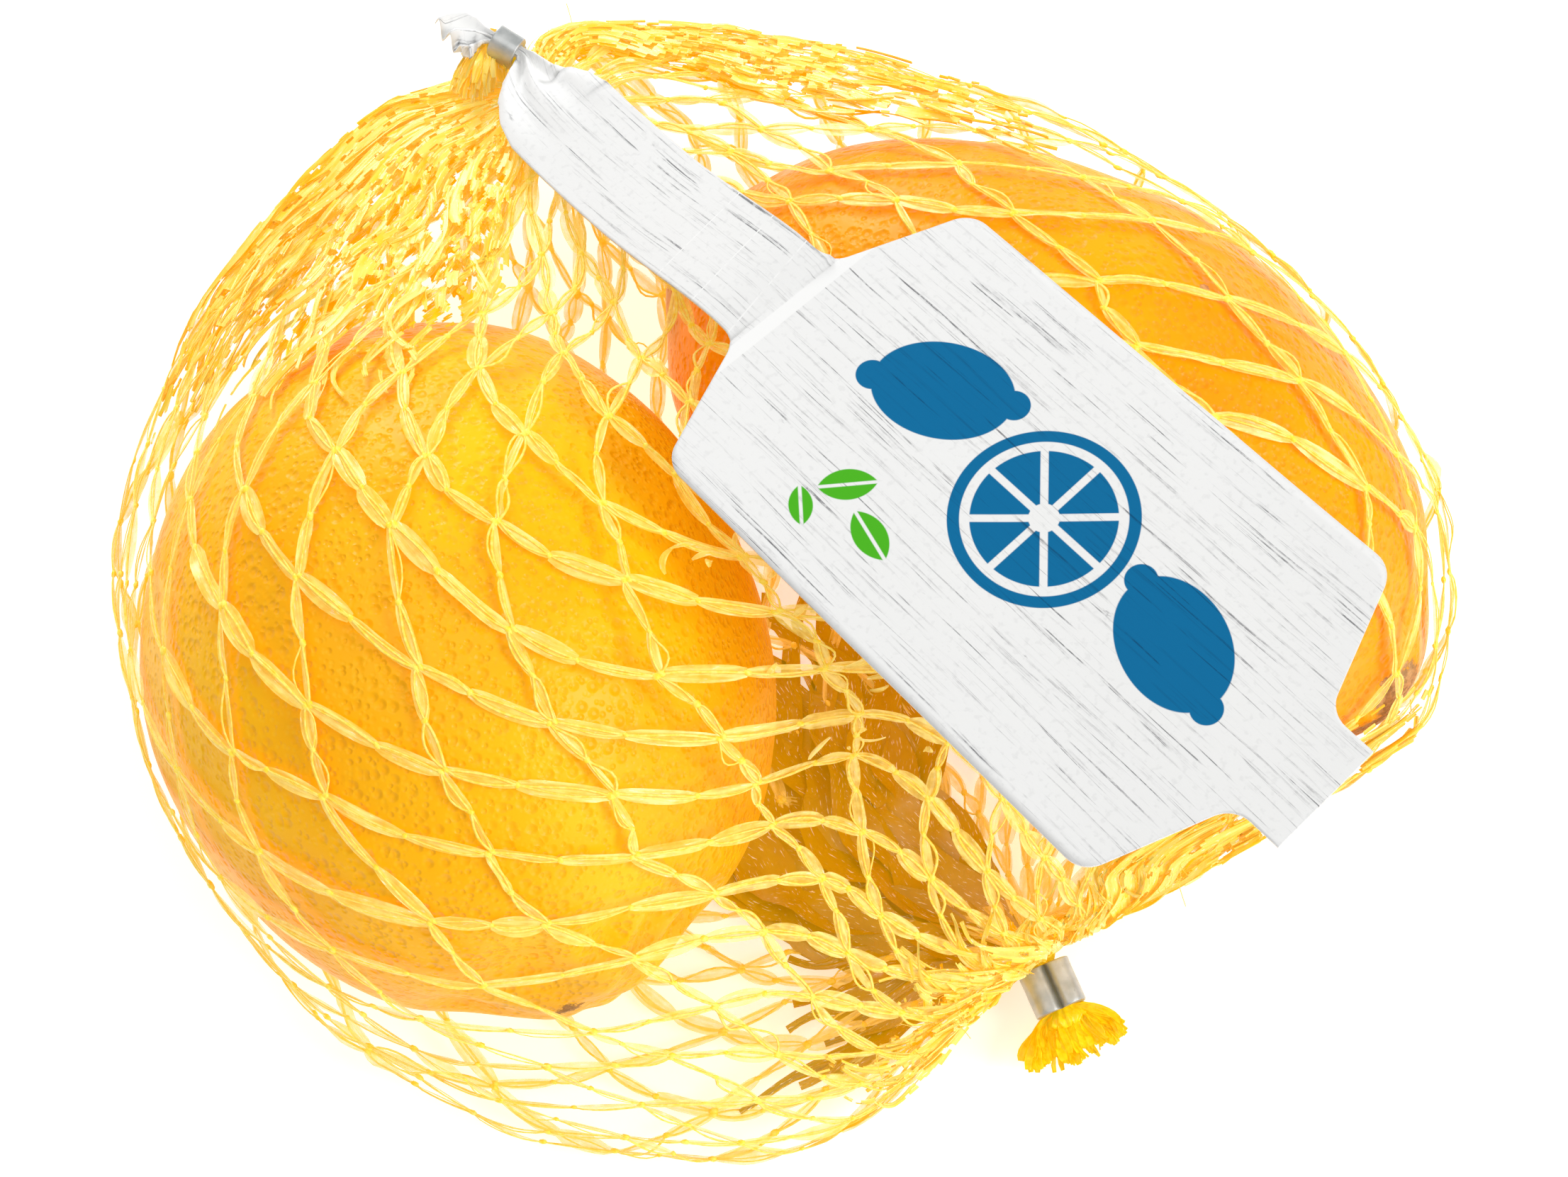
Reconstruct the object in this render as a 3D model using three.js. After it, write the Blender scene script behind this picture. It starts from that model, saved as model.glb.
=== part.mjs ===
// A net of two lemons, lying on a table. A knitted tube net is drawn round the fruit and closed at both
// ends by a crimped metal clip. The upper clip also holds a paddle-shaped label.
// Millimetres, +Z up, origin at the middle of the bounding box's underside.
import * as THREE from "three";

const vec = (x, y, z) => new THREE.Vector3(x, y, z);

// ---------------------------------------------------------------- driving dimensions

const ORIGIN = vec(0.25, 3.85, 0); // what the model is moved back by, to centre its box

// The fruit: half length, half width, half height, and the way the long axis points in plan.
const LEMONS = [
  { at: vec(-30.9, -8.5, 30.1), length: 34.8, width: 30.2, height: 30.2, heading: -69, bend: 1.0 },
  { at: vec(26.2, 14.2, 27.0), length: 41.6, width: 26.8, height: 27.1, heading: -33, bend: -2.5 },
];
const NIPPLE = 1.3; // how far each end of a lemon stands out
const NIPPLE_SPREAD = 0.24; // half angle of that end, in radians

// The net stands this far off the fruit, and its knitted mesh stands out of the cells by CELL_DEPTH.
const NET_GAP = 1.1;
const RIM_FOLD = 0.9; // and its folded rim is this much thicker than the line below
const CELL_DEPTH = 0.9;
const STRAND_SHARE = 0.24; // share of a cell's half width that its strands take
const WALES = 30; // cells round the tube
const COURSES = 16; // half cells along the tube
const PLAIN_COURSES = 2; // courses at each end that are bunched too tight to show cells
const TWIST = -0.06; // turns that the tube twists by from end to end

// The slack rim, where the tube folds over beside the fruit, clockwise from the upper clip.
const RIM = [
  vec(-22.1, 60.1, 27), vec(-7.7, 61.1, 25), vec(10.5, 57.0, 24), vec(27.1, 51.9, 23),
  vec(42.9, 42.2, 22), vec(56.8, 27.9, 22), vec(65.5, 10.9, 23), vec(66.0, -0.1, 23),
  vec(63.7, -11.3, 20), vec(54.0, -17.6, 14), vec(41.6, -22.5, 8), vec(33.2, -27.6, 5),
  vec(18.4, -38.6, 4), vec(9.1, -50.4, 4), vec(-3.3, -53.4, 3.5), vec(-25.9, -50.9, 4),
  vec(-44.2, -41.4, 7), vec(-56.7, -26.1, 13), vec(-62.1, -15.9, 19), vec(-66.2, 3.3, 24),
  vec(-64.2, 14.4, 26), vec(-57.5, 29.2, 28), vec(-50.0, 39.3, 29), vec(-38.9, 50.7, 30),
];
// Where the net sags: between the crowns, behind them under the label's neck, and in front of them.
const SAGS = [
  { toward: vec(-0.05, 0.12, 1), depth: 7.0, spread: 0.42 },
  { toward: vec(-0.3, 0.74, 0.6), depth: 9.0, spread: 0.44 },
  { toward: vec(0.38, -0.86, 0.34), depth: 12.0, spread: 0.4 },
];

// The clips: crimped bands, whose ends curl in as two lobes.
const UPPER_CLIP = {
  at: vec(-27.6, 53.7, 34.6), axis: vec(-0.84, 0.53, 0.05).normalize(), length: 2.8,
  bore: [1.75, 1.0], wall: 0.5, cleft: vec(0.57, 0.82, 0),
  net: 0.62, flare: { w: 1.2, h: 1.7, length: 3.6 }, curl: vec(0, -0.2, -0.05),
};
const LOWER_CLIP = {
  at: vec(27.1, -35.5, 4.2), axis: vec(0.39, -0.92, -0.02).normalize(), length: 4.8,
  bore: [1.95, 1.6], wall: 0.7, cleft: vec(0, -0.1, 1),
  net: 1.3, flare: { w: 5.3, h: 1.9, length: 4.6 }, curl: vec(0, 0, 0),
};
const CLIP_SIDES = 40;
const CLIP_LOBE = { swell: 0.7, at: 0.75, spread: 0.5 }; // a clip's wall, in shares of it, and in radians
const CLIP_CLEFT = { cut: 0.5, spread: 0.22 };
const NECK_RUN = 1.6; // the net is gathered this far before a clip
// In the upper clip the label's gathered neck lies on top of the gathered net.
const NET_BELOW = vec(-0.05, -0.15, -0.83);
const LABEL_ABOVE = vec(0.05, 0.15, 0.83);
// The net's tail past each clip: its pleats, and the scallops of its cut edge.
const TAIL = { pleats: 7, pleatShare: 0.16, scallops: 5, scallop: 0.4, hollow: 0.6 };
// Beside each clip the net bulges past it, steeply on one side and hardly on the other.
const NOTCHES = {
  upper: { slope: 0.55, lean: 0.55, steep: vec(-0.4, -0.57, -0.72) },
  lower: { slope: 0.2, lean: 0.25, steep: vec(-0.92, -0.39, 0) },
};

// The label: paddle body, neck, stub, thickness.
const LABEL = { width: 37.9, length: 52.5, neck: 11.5, stub: 10.3, shoulder: 5.2, corner: 2.8, thick: 0.34 };
const LABEL_AT = vec(21.2, -2.7, 60.6);
const LABEL_ALONG = vec(0.6775, -0.7169, 0.1645); // from the neck to the stub
const LABEL_ACROSS = vec(0.7301, 0.6826, -0.0317);
const LABEL_TWIST = 1.6; // how far its body's corners are warped out of flat, up and down in turn
// The middle of its neck: where it turns down from the clip, and halfway to the body.
const NECK_BEND = vec(-24.3, 48.4, 37.4);
const NECK_MIDDLE = vec(-13.6, 34.6, 45.4);
const LABEL_BUNDLE = 0.62; // half width of the label's gathered end inside the clip
// How it gathers there: distance from the middle of the clip, half width, height of its folds.
const LABEL_GATHER = [
  [-7.2, 2.4, 1.0], [-6.3, 3.0, 0.9], [-5.0, 2.6, 0.8], [-3.8, 1.8, 0.5], [-2.7, 1.0, 0.3],
  [-1.8, LABEL_BUNDLE, 0.2], [0, LABEL_BUNDLE, 0.2], [1.8, LABEL_BUNDLE, 0.2],
  [2.7, 1.2, 0.35], [4, 2.0, 0.6], [5.4, 3.0, 0.5], [7, 4.1, 0.35], [9, 5.1, 0.2], [12, LABEL.neck / 2, 0.1],
];
const LABEL_FOLDS = 2.5; // half waves across each half of the folds
const LABEL_CURL = vec(0.01, -0.075, 0.02); // how the crumpled end bends round past the clip
const WARP_START = -0.6; // the warp starts here, in shares of the body's length from its middle

// ---------------------------------------------------------------- small helpers

const mix = (a, b, t) => a + (b - a) * t;
const bump = (x) => Math.exp(-x * x);
const along = (at, dir, d) => at.clone().addScaledVector(dir, d);

// A closed mesh from a list of points and a list of triangles.
function solid(name, points, faces, color, roughness, metalness) {
  const geometry = new THREE.BufferGeometry();
  geometry.setAttribute("position", new THREE.Float32BufferAttribute(points.flatMap((p) => p.toArray()), 3));
  geometry.setIndex(faces.flat());
  geometry.computeVertexNormals();
  const mesh = new THREE.Mesh(geometry, new THREE.MeshStandardMaterial({ color, roughness, metalness }));
  mesh.name = name;
  return mesh;
}

// ---------------------------------------------------------------- the fruit's outline

function lemonPoint(lemon, phi, theta) {
  const turn = THREE.MathUtils.degToRad(lemon.heading);
  const axis = vec(Math.cos(turn), Math.sin(turn), 0);
  const side = vec(-axis.y, axis.x, 0);
  const tips = bump(phi / NIPPLE_SPREAD) - bump((Math.PI - phi) / NIPPLE_SPREAD);
  const sideways = Math.sin(phi) * Math.cos(theta) * lemon.width + lemon.bend * (Math.cos(phi) ** 2 - 1 / 3);
  return along(along(lemon.at, axis, lemon.length * Math.cos(phi) + NIPPLE * tips), side, sideways)
    .add(vec(0, 0, Math.sin(phi) * Math.sin(theta) * lemon.height));
}

// ---------------------------------------------------------------- the net's envelope

const CENTRE = vec(-2, 2, 27); // every point of the envelope is seen from here
const netNeck = (clip, d) => along(along(clip.at, clip.axis, d), NET_BELOW, clip === UPPER_CLIP ? 1 : 0);
const UPPER_APEX = netNeck(UPPER_CLIP, -UPPER_CLIP.length / 2 - NECK_RUN);
const LOWER_APEX = netNeck(LOWER_CLIP, -LOWER_CLIP.length / 2 - NECK_RUN);
const APEXES = [
  { at: UPPER_APEX, axis: UPPER_CLIP.axis, ...NOTCHES.upper },
  { at: LOWER_APEX, axis: LOWER_CLIP.axis, ...NOTCHES.lower },
];

// Evenly spread directions over a sphere.
function directions(count) {
  return Array.from({ length: count }, (_, i) => {
    const z = 1 - (2 * i + 1) / count;
    const turn = i * Math.PI * (3 - Math.sqrt(5));
    const flat = Math.sqrt(1 - z * z);
    return vec(flat * Math.cos(turn), flat * Math.sin(turn), z);
  });
}

const PLANE_COUNT = 2600;
const FRUIT_RINGS = 16;
const FRUIT_SIDES = 24;
const GRAZING = 0.1; // a plane seen flatter than this doesn't bound the envelope
const HALVINGS = 24; // steps in the search for a notch's wall

// The planes of the taut hull round the fruit, the rim and the two ends.
const PLANES = (() => {
  const fruit = [];
  for (const lemon of LEMONS)
    for (let i = 0; i <= FRUIT_RINGS; i++)
      for (let j = 0; j < FRUIT_SIDES; j++) {
        const p = lemonPoint(lemon, (Math.PI * i) / FRUIT_RINGS, (2 * Math.PI * j) / FRUIT_SIDES);
        fruit.push(p.sub(CENTRE));
      }
  const rim = RIM.map((p) => p.clone().sub(CENTRE));
  return directions(PLANE_COUNT).map((normal) => ({
    normal,
    reach: Math.max(
      NET_GAP + Math.max(...fruit.map((p) => p.dot(normal))),
      RIM_FOLD + Math.max(...rim.map((p) => p.dot(normal))),
      ...APEXES.map(({ at }) => at.clone().sub(CENTRE).dot(normal)),
    ),
  }));
})();

// Distance from CENTRE to the envelope along a unit direction.
function envelopeReach(direction) {
  let reach = Infinity;
  for (const plane of PLANES) {
    const facing = plane.normal.dot(direction);
    if (facing > GRAZING) reach = Math.min(reach, plane.reach / facing);
  }
  for (const sag of SAGS) reach -= sag.depth * bump(direction.angleTo(sag.toward) / sag.spread);
  // Beside each clip the net stays behind a wide, leaning cone round the clip's axis.
  for (const { at, axis, slope, lean, steep } of APEXES) {
    const past = (r) => {
      const p = along(CENTRE, direction, r).sub(at);
      const ahead = p.dot(axis);
      p.addScaledVector(axis, -ahead);
      return ahead - slope * p.length() - lean * p.dot(steep);
    };
    if (past(reach) <= 0) continue;
    let low = 0;
    for (let i = 0; i < HALVINGS; i++) {
      const middle = (low + reach) / 2;
      if (past(middle) > 0) reach = middle;
      else low = middle;
    }
  }
  return reach;
}

// A table of the tube's surface, evenly spaced by length round and along. Rows run from end to end.
const ROUND = 96;
const LONG = 72;
const END_ANGLE = 0.03;

// Resamples a polyline into count + 1 points of equal spacing.
function evenly(points, count) {
  const run = [0];
  for (let i = 1; i < points.length; i++) run.push(run[i - 1] + points[i].distanceTo(points[i - 1]));
  const out = [];
  for (let k = 0, i = 1; k <= count; k++) {
    const want = (run[run.length - 1] * k) / count;
    while (i < points.length - 1 && run[i] < want) i++;
    const share = (want - run[i - 1]) / (run[i] - run[i - 1] || 1);
    out.push(points[i - 1].clone().lerp(points[i], share));
  }
  return out;
}

const TUBE = (() => {
  const toUpper = UPPER_APEX.clone().sub(CENTRE).normalize();
  const toLower = LOWER_APEX.clone().sub(CENTRE).normalize();
  const pole = toUpper.clone().sub(toLower).normalize();
  const down = vec(0, 0, -1).projectOnPlane(pole).normalize();
  const side = down.clone().cross(pole);
  const rows = [];
  for (let j = 0; j <= LONG; j++) {
    const beta = mix(END_ANGLE, Math.PI - END_ANGLE, j / LONG);
    const toward = ((1 + Math.cos(beta)) / 2) ** 2;
    const away = ((1 - Math.cos(beta)) / 2) ** 2;
    const loop = [];
    for (let i = 0; i <= ROUND; i++) {
      const alpha = (2 * Math.PI * (i % ROUND)) / ROUND;
      const dir = pole.clone().multiplyScalar(Math.cos(beta))
        .addScaledVector(down, Math.sin(beta) * Math.cos(alpha))
        .addScaledVector(side, Math.sin(beta) * Math.sin(alpha))
        .addScaledVector(toUpper.clone().sub(pole), toward)
        .addScaledVector(toLower.clone().add(pole), away)
        .normalize();
      loop.push(along(CENTRE, dir, envelopeReach(dir)));
    }
    rows.push(evenly(loop, ROUND));
  }
  const lines = [];
  for (let i = 0; i < ROUND; i++) lines.push(evenly(rows.map((row) => row[i]), LONG));
  return lines;
})();

// The tube's surface: u turns round it, v from 0 at the upper clip to 1 at the lower one, sunk by depth.
function tubePoint(u, v, depth) {
  const x = (((u + TWIST * v) % 1) + 1) % 1 * ROUND;
  const y = THREE.MathUtils.clamp(v, 0, 1) * LONG;
  const i = Math.floor(x);
  const j = Math.min(Math.floor(y), LONG - 1);
  const near = TUBE[i % ROUND];
  const next = TUBE[(i + 1) % ROUND];
  const a = near[j].clone().lerp(next[j], x - i);
  const b = near[j + 1].clone().lerp(next[j + 1], x - i);
  const p = a.lerp(b, y - j);
  p.addScaledVector(p.clone().sub(CENTRE).normalize(), -depth);
  p.z = Math.max(p.z, 0);
  return p;
}

// ---------------------------------------------------------------- the net

// One end of the tube: rings that gather it through the clip and flare into its cut end.
function tailRings(clip, ringSize) {
  const { axis, flare } = clip;
  const across = vec(0, 0, 1).cross(axis).normalize();
  const up = axis.clone().cross(across);
  const at = netNeck(clip, 0);
  const half = clip.length / 2;
  const steps = [
    { d: -half - 0.4, w: clip.net, h: clip.net },
    { d: half + 0.3, w: clip.net, h: clip.net },
    { d: half + 1.4, w: flare.w * 0.6, h: flare.h * 0.7 },
    { d: half + flare.length, w: flare.w, h: flare.h },
  ];
  return steps.map(({ d, w, h }, k) =>
    Array.from({ length: ringSize }, (_, i) => {
      const turn = (2 * Math.PI * i) / ringSize;
      const ruffle = k < 2 ? 1 : 1 + TAIL.pleatShare * Math.cos(turn * TAIL.pleats);
      const scallop = k === 3 ? TAIL.scallop * Math.cos(turn * TAIL.scallops) : 0;
      return along(at, axis, d + scallop)
        .addScaledVector(clip.curl, Math.max(d - half, 0) ** 2)
        .addScaledVector(across, -w * ruffle * Math.sin(turn))
        .addScaledVector(up, h * ruffle * Math.cos(turn));
    }),
  );
}

function makeNet() {
  const points = [];
  const faces = [];
  const known = new Map();
  // A vertex on the tube at half wale k and course j, either on the strands or at the foot of a cell.
  const vertex = (k, j, depth = 0) => {
    const turn = ((k % (2 * WALES)) + 2 * WALES) % (2 * WALES);
    const key = turn.toFixed(4) + "/" + j.toFixed(4) + "/" + (depth > 0);
    if (!known.has(key)) {
      known.set(key, points.length);
      points.push(tubePoint(turn / (2 * WALES), j / COURSES, depth));
    }
    return known.get(key);
  };
  const quarter = Math.floor(WALES / 4);
  const rim = [[0, -1], [0.5, -0.5], [1, 0], [0.5, 0.5], [0, 1], [-0.5, 0.5], [-1, 0], [-0.5, -0.5]];
  for (let j = 1; j < COURSES; j++)
    for (let k = (j + 1) % 2; k < 2 * WALES; k += 2) {
      const outer = rim.map(([dk, dj]) => vertex(k + dk, j + dj));
      if (j <= PLAIN_COURSES || j >= COURSES - PLAIN_COURSES) {
        const hub = vertex(k, j);
        outer.forEach((_, i) => faces.push([outer[i], outer[(i + 1) % 8], hub]));
        continue;
      }
      const share = 1 - STRAND_SHARE;
      const inner = rim.map(([dk, dj]) => vertex(k + dk * share, j + dj * share, CELL_DEPTH));
      const middle = vertex(k, j, CELL_DEPTH);
      rim.forEach((_, i) => {
        const next = (i + 1) % 8;
        faces.push([outer[i], inner[next], inner[i]], [outer[i], outer[next], inner[next]]);
        faces.push([inner[i], inner[next], middle]);
      });
    }
  // Half cells along each end, then the gathered tail.
  for (const [row, inward, clip] of [[0, 1, UPPER_CLIP], [COURSES, -1, LOWER_CLIP]]) {
    const add = (a, b, c) => faces.push(inward > 0 ? [a, b, c] : [a, c, b]);
    const start = row % 2;
    const ring = [];
    for (let k = start; k < 2 * WALES + start; k += 2) {
      const left = vertex(k, row);
      ring.push(left);
      const hub = vertex(k + 1, row + 0.3 * inward);
      const edge = [left, vertex(k + 0.5, row + 0.5 * inward), vertex(k + 1, row + inward),
        vertex(k + 1.5, row + 0.5 * inward), vertex(k + 2, row)];
      for (let i = 0; i < 4; i++) add(hub, edge[i + 1], edge[i]);
      add(hub, left, edge[4]);
    }
    const centre = ring.reduce((sum, i) => sum.add(points[i]), vec(0, 0, 0)).divideScalar(ring.length);
    const tail = tailRings(clip, WALES);
    let last = ring;
    // The tail's rings start beside the tube's own first vertex, and turn the same way.
    const axis = clip.axis;
    const first = points[ring[0]].clone().sub(centre).projectOnPlane(axis);
    const second = points[ring[quarter]].clone().sub(centre).projectOnPlane(axis);
    const clockwise = first.clone().cross(second).dot(axis) < 0;
    for (const circle of tail) {
      const hub = circle.reduce((sum, p) => sum.add(p), vec(0, 0, 0)).divideScalar(WALES);
      let best = 0;
      circle.forEach((p, i) => {
        if (p.clone().sub(hub).angleTo(first) < circle[best].clone().sub(hub).angleTo(first)) best = i;
      });
      const own = circle[0].clone().sub(hub).cross(circle[quarter].clone().sub(hub)).dot(axis) < 0;
      const step = own === clockwise ? 1 : -1;
      const turned = circle.map((_, i) => circle[(best + (step + WALES) * i) % WALES]);
      const next = turned.map((p) => points.push(p) - 1);
      for (let i = 0; i < WALES; i++) {
        const n = (i + 1) % WALES;
        add(last[i], next[n], last[n]);
        add(last[i], next[i], next[n]);
      }
      last = next;
    }
    const end = netNeck(clip, clip.length / 2 + clip.flare.length - TAIL.hollow);
    const tip = points.push(along(end, clip.curl, clip.flare.length ** 2)) - 1;
    for (let i = 0; i < WALES; i++) add(last[i], tip, last[(i + 1) % WALES]);
  }
  return solid("net_bag", points, faces, 0xf2cf35, 0.5, 0);
}

// ---------------------------------------------------------------- the clips

// A crimped band seen along its axis: an oval round the gathered neck, with two lobes and a cleft.
function makeClip(name, clip) {
  const [holeX, holeY] = clip.bore;
  const outline = new THREE.Shape();
  const bore = new THREE.Path();
  for (let i = 0; i < CLIP_SIDES; i++) {
    const turn = (2 * Math.PI * i) / CLIP_SIDES;
    const off = Math.abs(turn - Math.PI / 2);
    const lobe = CLIP_LOBE.swell * bump((off - CLIP_LOBE.at) / CLIP_LOBE.spread);
    const wall = clip.wall * (1 + lobe - CLIP_CLEFT.cut * bump(off / CLIP_CLEFT.spread));
    const x = Math.cos(turn);
    const y = Math.sin(turn);
    if (i === 0) outline.moveTo((holeX + wall) * x, (holeY + wall) * y);
    else outline.lineTo((holeX + wall) * x, (holeY + wall) * y);
    if (i === 0) bore.moveTo(holeX * x, holeY * y);
    else bore.lineTo(holeX * x, holeY * y);
  }
  outline.closePath();
  bore.closePath();
  outline.holes.push(bore);
  const geometry = new THREE.ExtrudeGeometry(outline, { depth: clip.length, bevelEnabled: false, steps: 1 });
  geometry.translate(0, 0, -clip.length / 2);
  const axis = clip.axis;
  const up = clip.cleft.clone().projectOnPlane(axis).normalize();
  const basis = new THREE.Matrix4().makeBasis(up.clone().cross(axis), up, axis);
  const material = new THREE.MeshStandardMaterial({ color: 0xb4b8b8, roughness: 0.35, metalness: 1 });
  const mesh = new THREE.Mesh(geometry, material);
  mesh.name = name;
  mesh.setRotationFromMatrix(basis);
  mesh.position.copy(clip.at);
  return mesh;
}

// ---------------------------------------------------------------- the label

const ARC_STEPS = 4;
const NECK_STEPS = 8;
const BODY_STEPS = 3;

// The label's half outline from its crumpled end to its stub: distance along, half width, fold height.
function labelRows(neckLength) {
  const half = LABEL.length / 2;
  const neck = LABEL.neck / 2;
  const wide = LABEL.width / 2;
  const lean = Math.atan((wide - neck) / LABEL.shoulder);
  const turn = LABEL.corner * Math.tan(lean / 2); // length that a rounded corner takes off its sides
  const side = [];
  for (let k = 0; k <= ARC_STEPS; k++) {
    const a = (lean * k) / ARC_STEPS;
    const s = -half - LABEL.shoulder - turn + LABEL.corner * Math.sin(a);
    side.push([s, neck + LABEL.corner * (1 - Math.cos(a))]);
  }
  for (let k = 0; k <= ARC_STEPS; k++) {
    const a = lean * (1 - k / ARC_STEPS);
    side.push([-half + turn - LABEL.corner * Math.sin(a), wide - LABEL.corner * (1 - Math.cos(a))]);
  }
  const rows = [];
  const put = (s, w, fold = 0) => rows.push({ s, w, fold });
  const end = -half - LABEL.shoulder - neckLength;
  for (const [d, w, fold] of LABEL_GATHER) put(end + d, w, fold);
  const spread = end + LABEL_GATHER[LABEL_GATHER.length - 1][0]; // where the neck has its full width
  for (let k = 1; k < NECK_STEPS; k++) put(mix(spread, side[0][0], k / NECK_STEPS), neck);
  // From the neck out to the body: a hollow fillet, the sloping shoulder and a round corner.
  side.forEach(([s, w]) => put(s, w));
  for (let k = 1; k < BODY_STEPS; k++) put(mix(-half + turn, half - turn, k / BODY_STEPS), wide);
  side.reverse().forEach(([s, w]) => put(-s, w));
  put(half + LABEL.stub, neck);
  return rows;
}

function makeLabel() {
  const alongBody = LABEL_ALONG.clone().normalize();
  const across = LABEL_ACROSS.clone().normalize();
  const normal = alongBody.clone().cross(across);
  const clipAxis = UPPER_CLIP.axis;
  const bodyStart = along(LABEL_AT, alongBody, -LABEL.length / 2 - LABEL.shoulder);
  const inClip = UPPER_CLIP.at.clone().add(LABEL_ABOVE);
  const neckCurve = new THREE.CatmullRomCurve3(
    [inClip, along(inClip, clipAxis, -2), NECK_BEND, NECK_MIDDLE, along(bodyStart, alongBody, -4), bodyStart],
  );
  const neckLength = neckCurve.getLength();
  const rows = labelRows(neckLength);
  const columns = 10;
  const points = [];
  const faces = [];
  rows.forEach(({ s, w, fold }) => {
    const run = s + LABEL.length / 2 + LABEL.shoulder + neckLength; // from the clip
    const share = THREE.MathUtils.clamp(run / neckLength, 0, 1);
    const middle = run < 0 ? along(along(inClip, clipAxis, -run), LABEL_CURL, run * run)
      : run < neckLength ? neckCurve.getPointAt(share) : along(bodyStart, alongBody, run - neckLength);
    const tangent = run < 0 ? clipAxis.clone().negate() : neckCurve.getTangentAt(share);
    const sideways = normal.clone().cross(tangent).normalize();
    const up = tangent.clone().cross(sideways);
    for (const face of [1, -1])
      for (let c = 0; c <= columns; c++) {
        const t = (2 * c) / columns - 1;
        const ahead = s / LABEL.length;
        const warp = ahead > WARP_START ? LABEL_TWIST * ahead * 2 * ((w * t) / LABEL.width) * 2 : 0;
        const lift = fold * Math.cos(t * Math.PI * LABEL_FOLDS) + warp + (face * LABEL.thick) / 2;
        points.push(along(middle, sideways, w * t).addScaledVector(up, lift));
      }
  });
  const width = columns + 1;
  const at = (row, face, c) => row * 2 * width + face * width + c;
  const quad = (flip, ...corners) => {
    const [a, b, c, d] = flip ? corners.reverse() : corners;
    faces.push([a, b, c], [a, c, d]);
  };
  for (let r = 0; r < rows.length - 1; r++) {
    for (const face of [0, 1])
      for (let c = 0; c < columns; c++)
        quad(face === 1, at(r, face, c), at(r + 1, face, c), at(r + 1, face, c + 1), at(r, face, c + 1));
    for (const c of [0, columns]) quad(c === 0, at(r, 0, c), at(r + 1, 0, c), at(r + 1, 1, c), at(r, 1, c));
  }
  for (const r of [0, rows.length - 1])
    for (let c = 0; c < columns; c++)
      quad(r > 0, at(r, 0, c), at(r, 0, c + 1), at(r, 1, c + 1), at(r, 1, c));
  return solid("label", points, faces, 0xf0efec, 0.55, 0);
}

// ---------------------------------------------------------------- the whole

const netOfLemons = new THREE.Group();
netOfLemons.add(
  makeNet(),
  makeLabel(),
  makeClip("clip_upper", UPPER_CLIP),
  makeClip("clip_lower", LOWER_CLIP),
);
netOfLemons.position.copy(ORIGIN).negate();

export default netOfLemons;
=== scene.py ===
"""A net of two lemons lying on a table: a knitted film net closed by two crimped clips, with a paddle label.

The net's outer form repeats the part's own construction, in millimetres, and its strands are laid on it.
"""

import math

import bpy
import numpy as np
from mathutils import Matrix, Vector


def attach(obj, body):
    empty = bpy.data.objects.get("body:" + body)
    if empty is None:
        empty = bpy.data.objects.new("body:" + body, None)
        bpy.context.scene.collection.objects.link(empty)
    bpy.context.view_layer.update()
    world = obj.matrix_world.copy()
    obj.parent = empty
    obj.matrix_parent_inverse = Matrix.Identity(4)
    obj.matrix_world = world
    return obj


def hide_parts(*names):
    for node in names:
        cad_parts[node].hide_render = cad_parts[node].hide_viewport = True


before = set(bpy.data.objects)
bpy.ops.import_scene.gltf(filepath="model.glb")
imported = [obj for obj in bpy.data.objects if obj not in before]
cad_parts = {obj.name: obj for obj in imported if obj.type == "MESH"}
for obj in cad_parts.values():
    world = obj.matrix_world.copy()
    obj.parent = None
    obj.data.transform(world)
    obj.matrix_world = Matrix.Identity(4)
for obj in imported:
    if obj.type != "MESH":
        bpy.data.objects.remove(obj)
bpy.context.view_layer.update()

MM = 0.001
SEED = 20

# ---- sizes shared with the part, in mm

ORIGIN = np.array([0.25, 3.85, 0.0])
CENTRE = np.array([-2.0, 2.0, 27.0])  # every point of the envelope is seen from here
LEMONS = {
    "lemon_round": dict(at=(-30.9, -8.5, 30.1), length=34.8, width=30.2, height=30.2, heading=-69, bend=1.0),
    "lemon_slim": dict(at=(26.2, 14.2, 27.0), length=41.6, width=26.8, height=27.1, heading=-33, bend=-2.5),
}
NIPPLE, NIPPLE_SPREAD = 1.3, 0.24
NET_GAP, RIM_FOLD = 1.1, 0.9
WALES, COURSES = 30, 16
TWIST = -0.06
RIM = np.array([
    (-22.1, 60.1, 27), (-7.7, 61.1, 25), (10.5, 57.0, 24), (27.1, 51.9, 23),
    (42.9, 42.2, 22), (56.8, 27.9, 22), (65.5, 10.9, 23), (66.0, -0.1, 23),
    (63.7, -11.3, 20), (54.0, -17.6, 14), (41.6, -22.5, 8), (33.2, -27.6, 5),
    (18.4, -38.6, 4), (9.1, -50.4, 4), (-3.3, -53.4, 3.5), (-25.9, -50.9, 4),
    (-44.2, -41.4, 7), (-56.7, -26.1, 13), (-62.1, -15.9, 19), (-66.2, 3.3, 24),
    (-64.2, 14.4, 26), (-57.5, 29.2, 28), (-50.0, 39.3, 29), (-38.9, 50.7, 30),
])
LOW_SAG = ((0.38, -0.86, 0.34), 12.0, 0.4)  # toward, depth, spread
SAGS = [((-0.05, 0.12, 1), 7.0, 0.42), ((-0.3, 0.74, 0.6), 9.0, 0.44), LOW_SAG]


def unit(v):
    v = np.asarray(v, float)
    return v / np.linalg.norm(v, axis=-1, keepdims=True)


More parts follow.
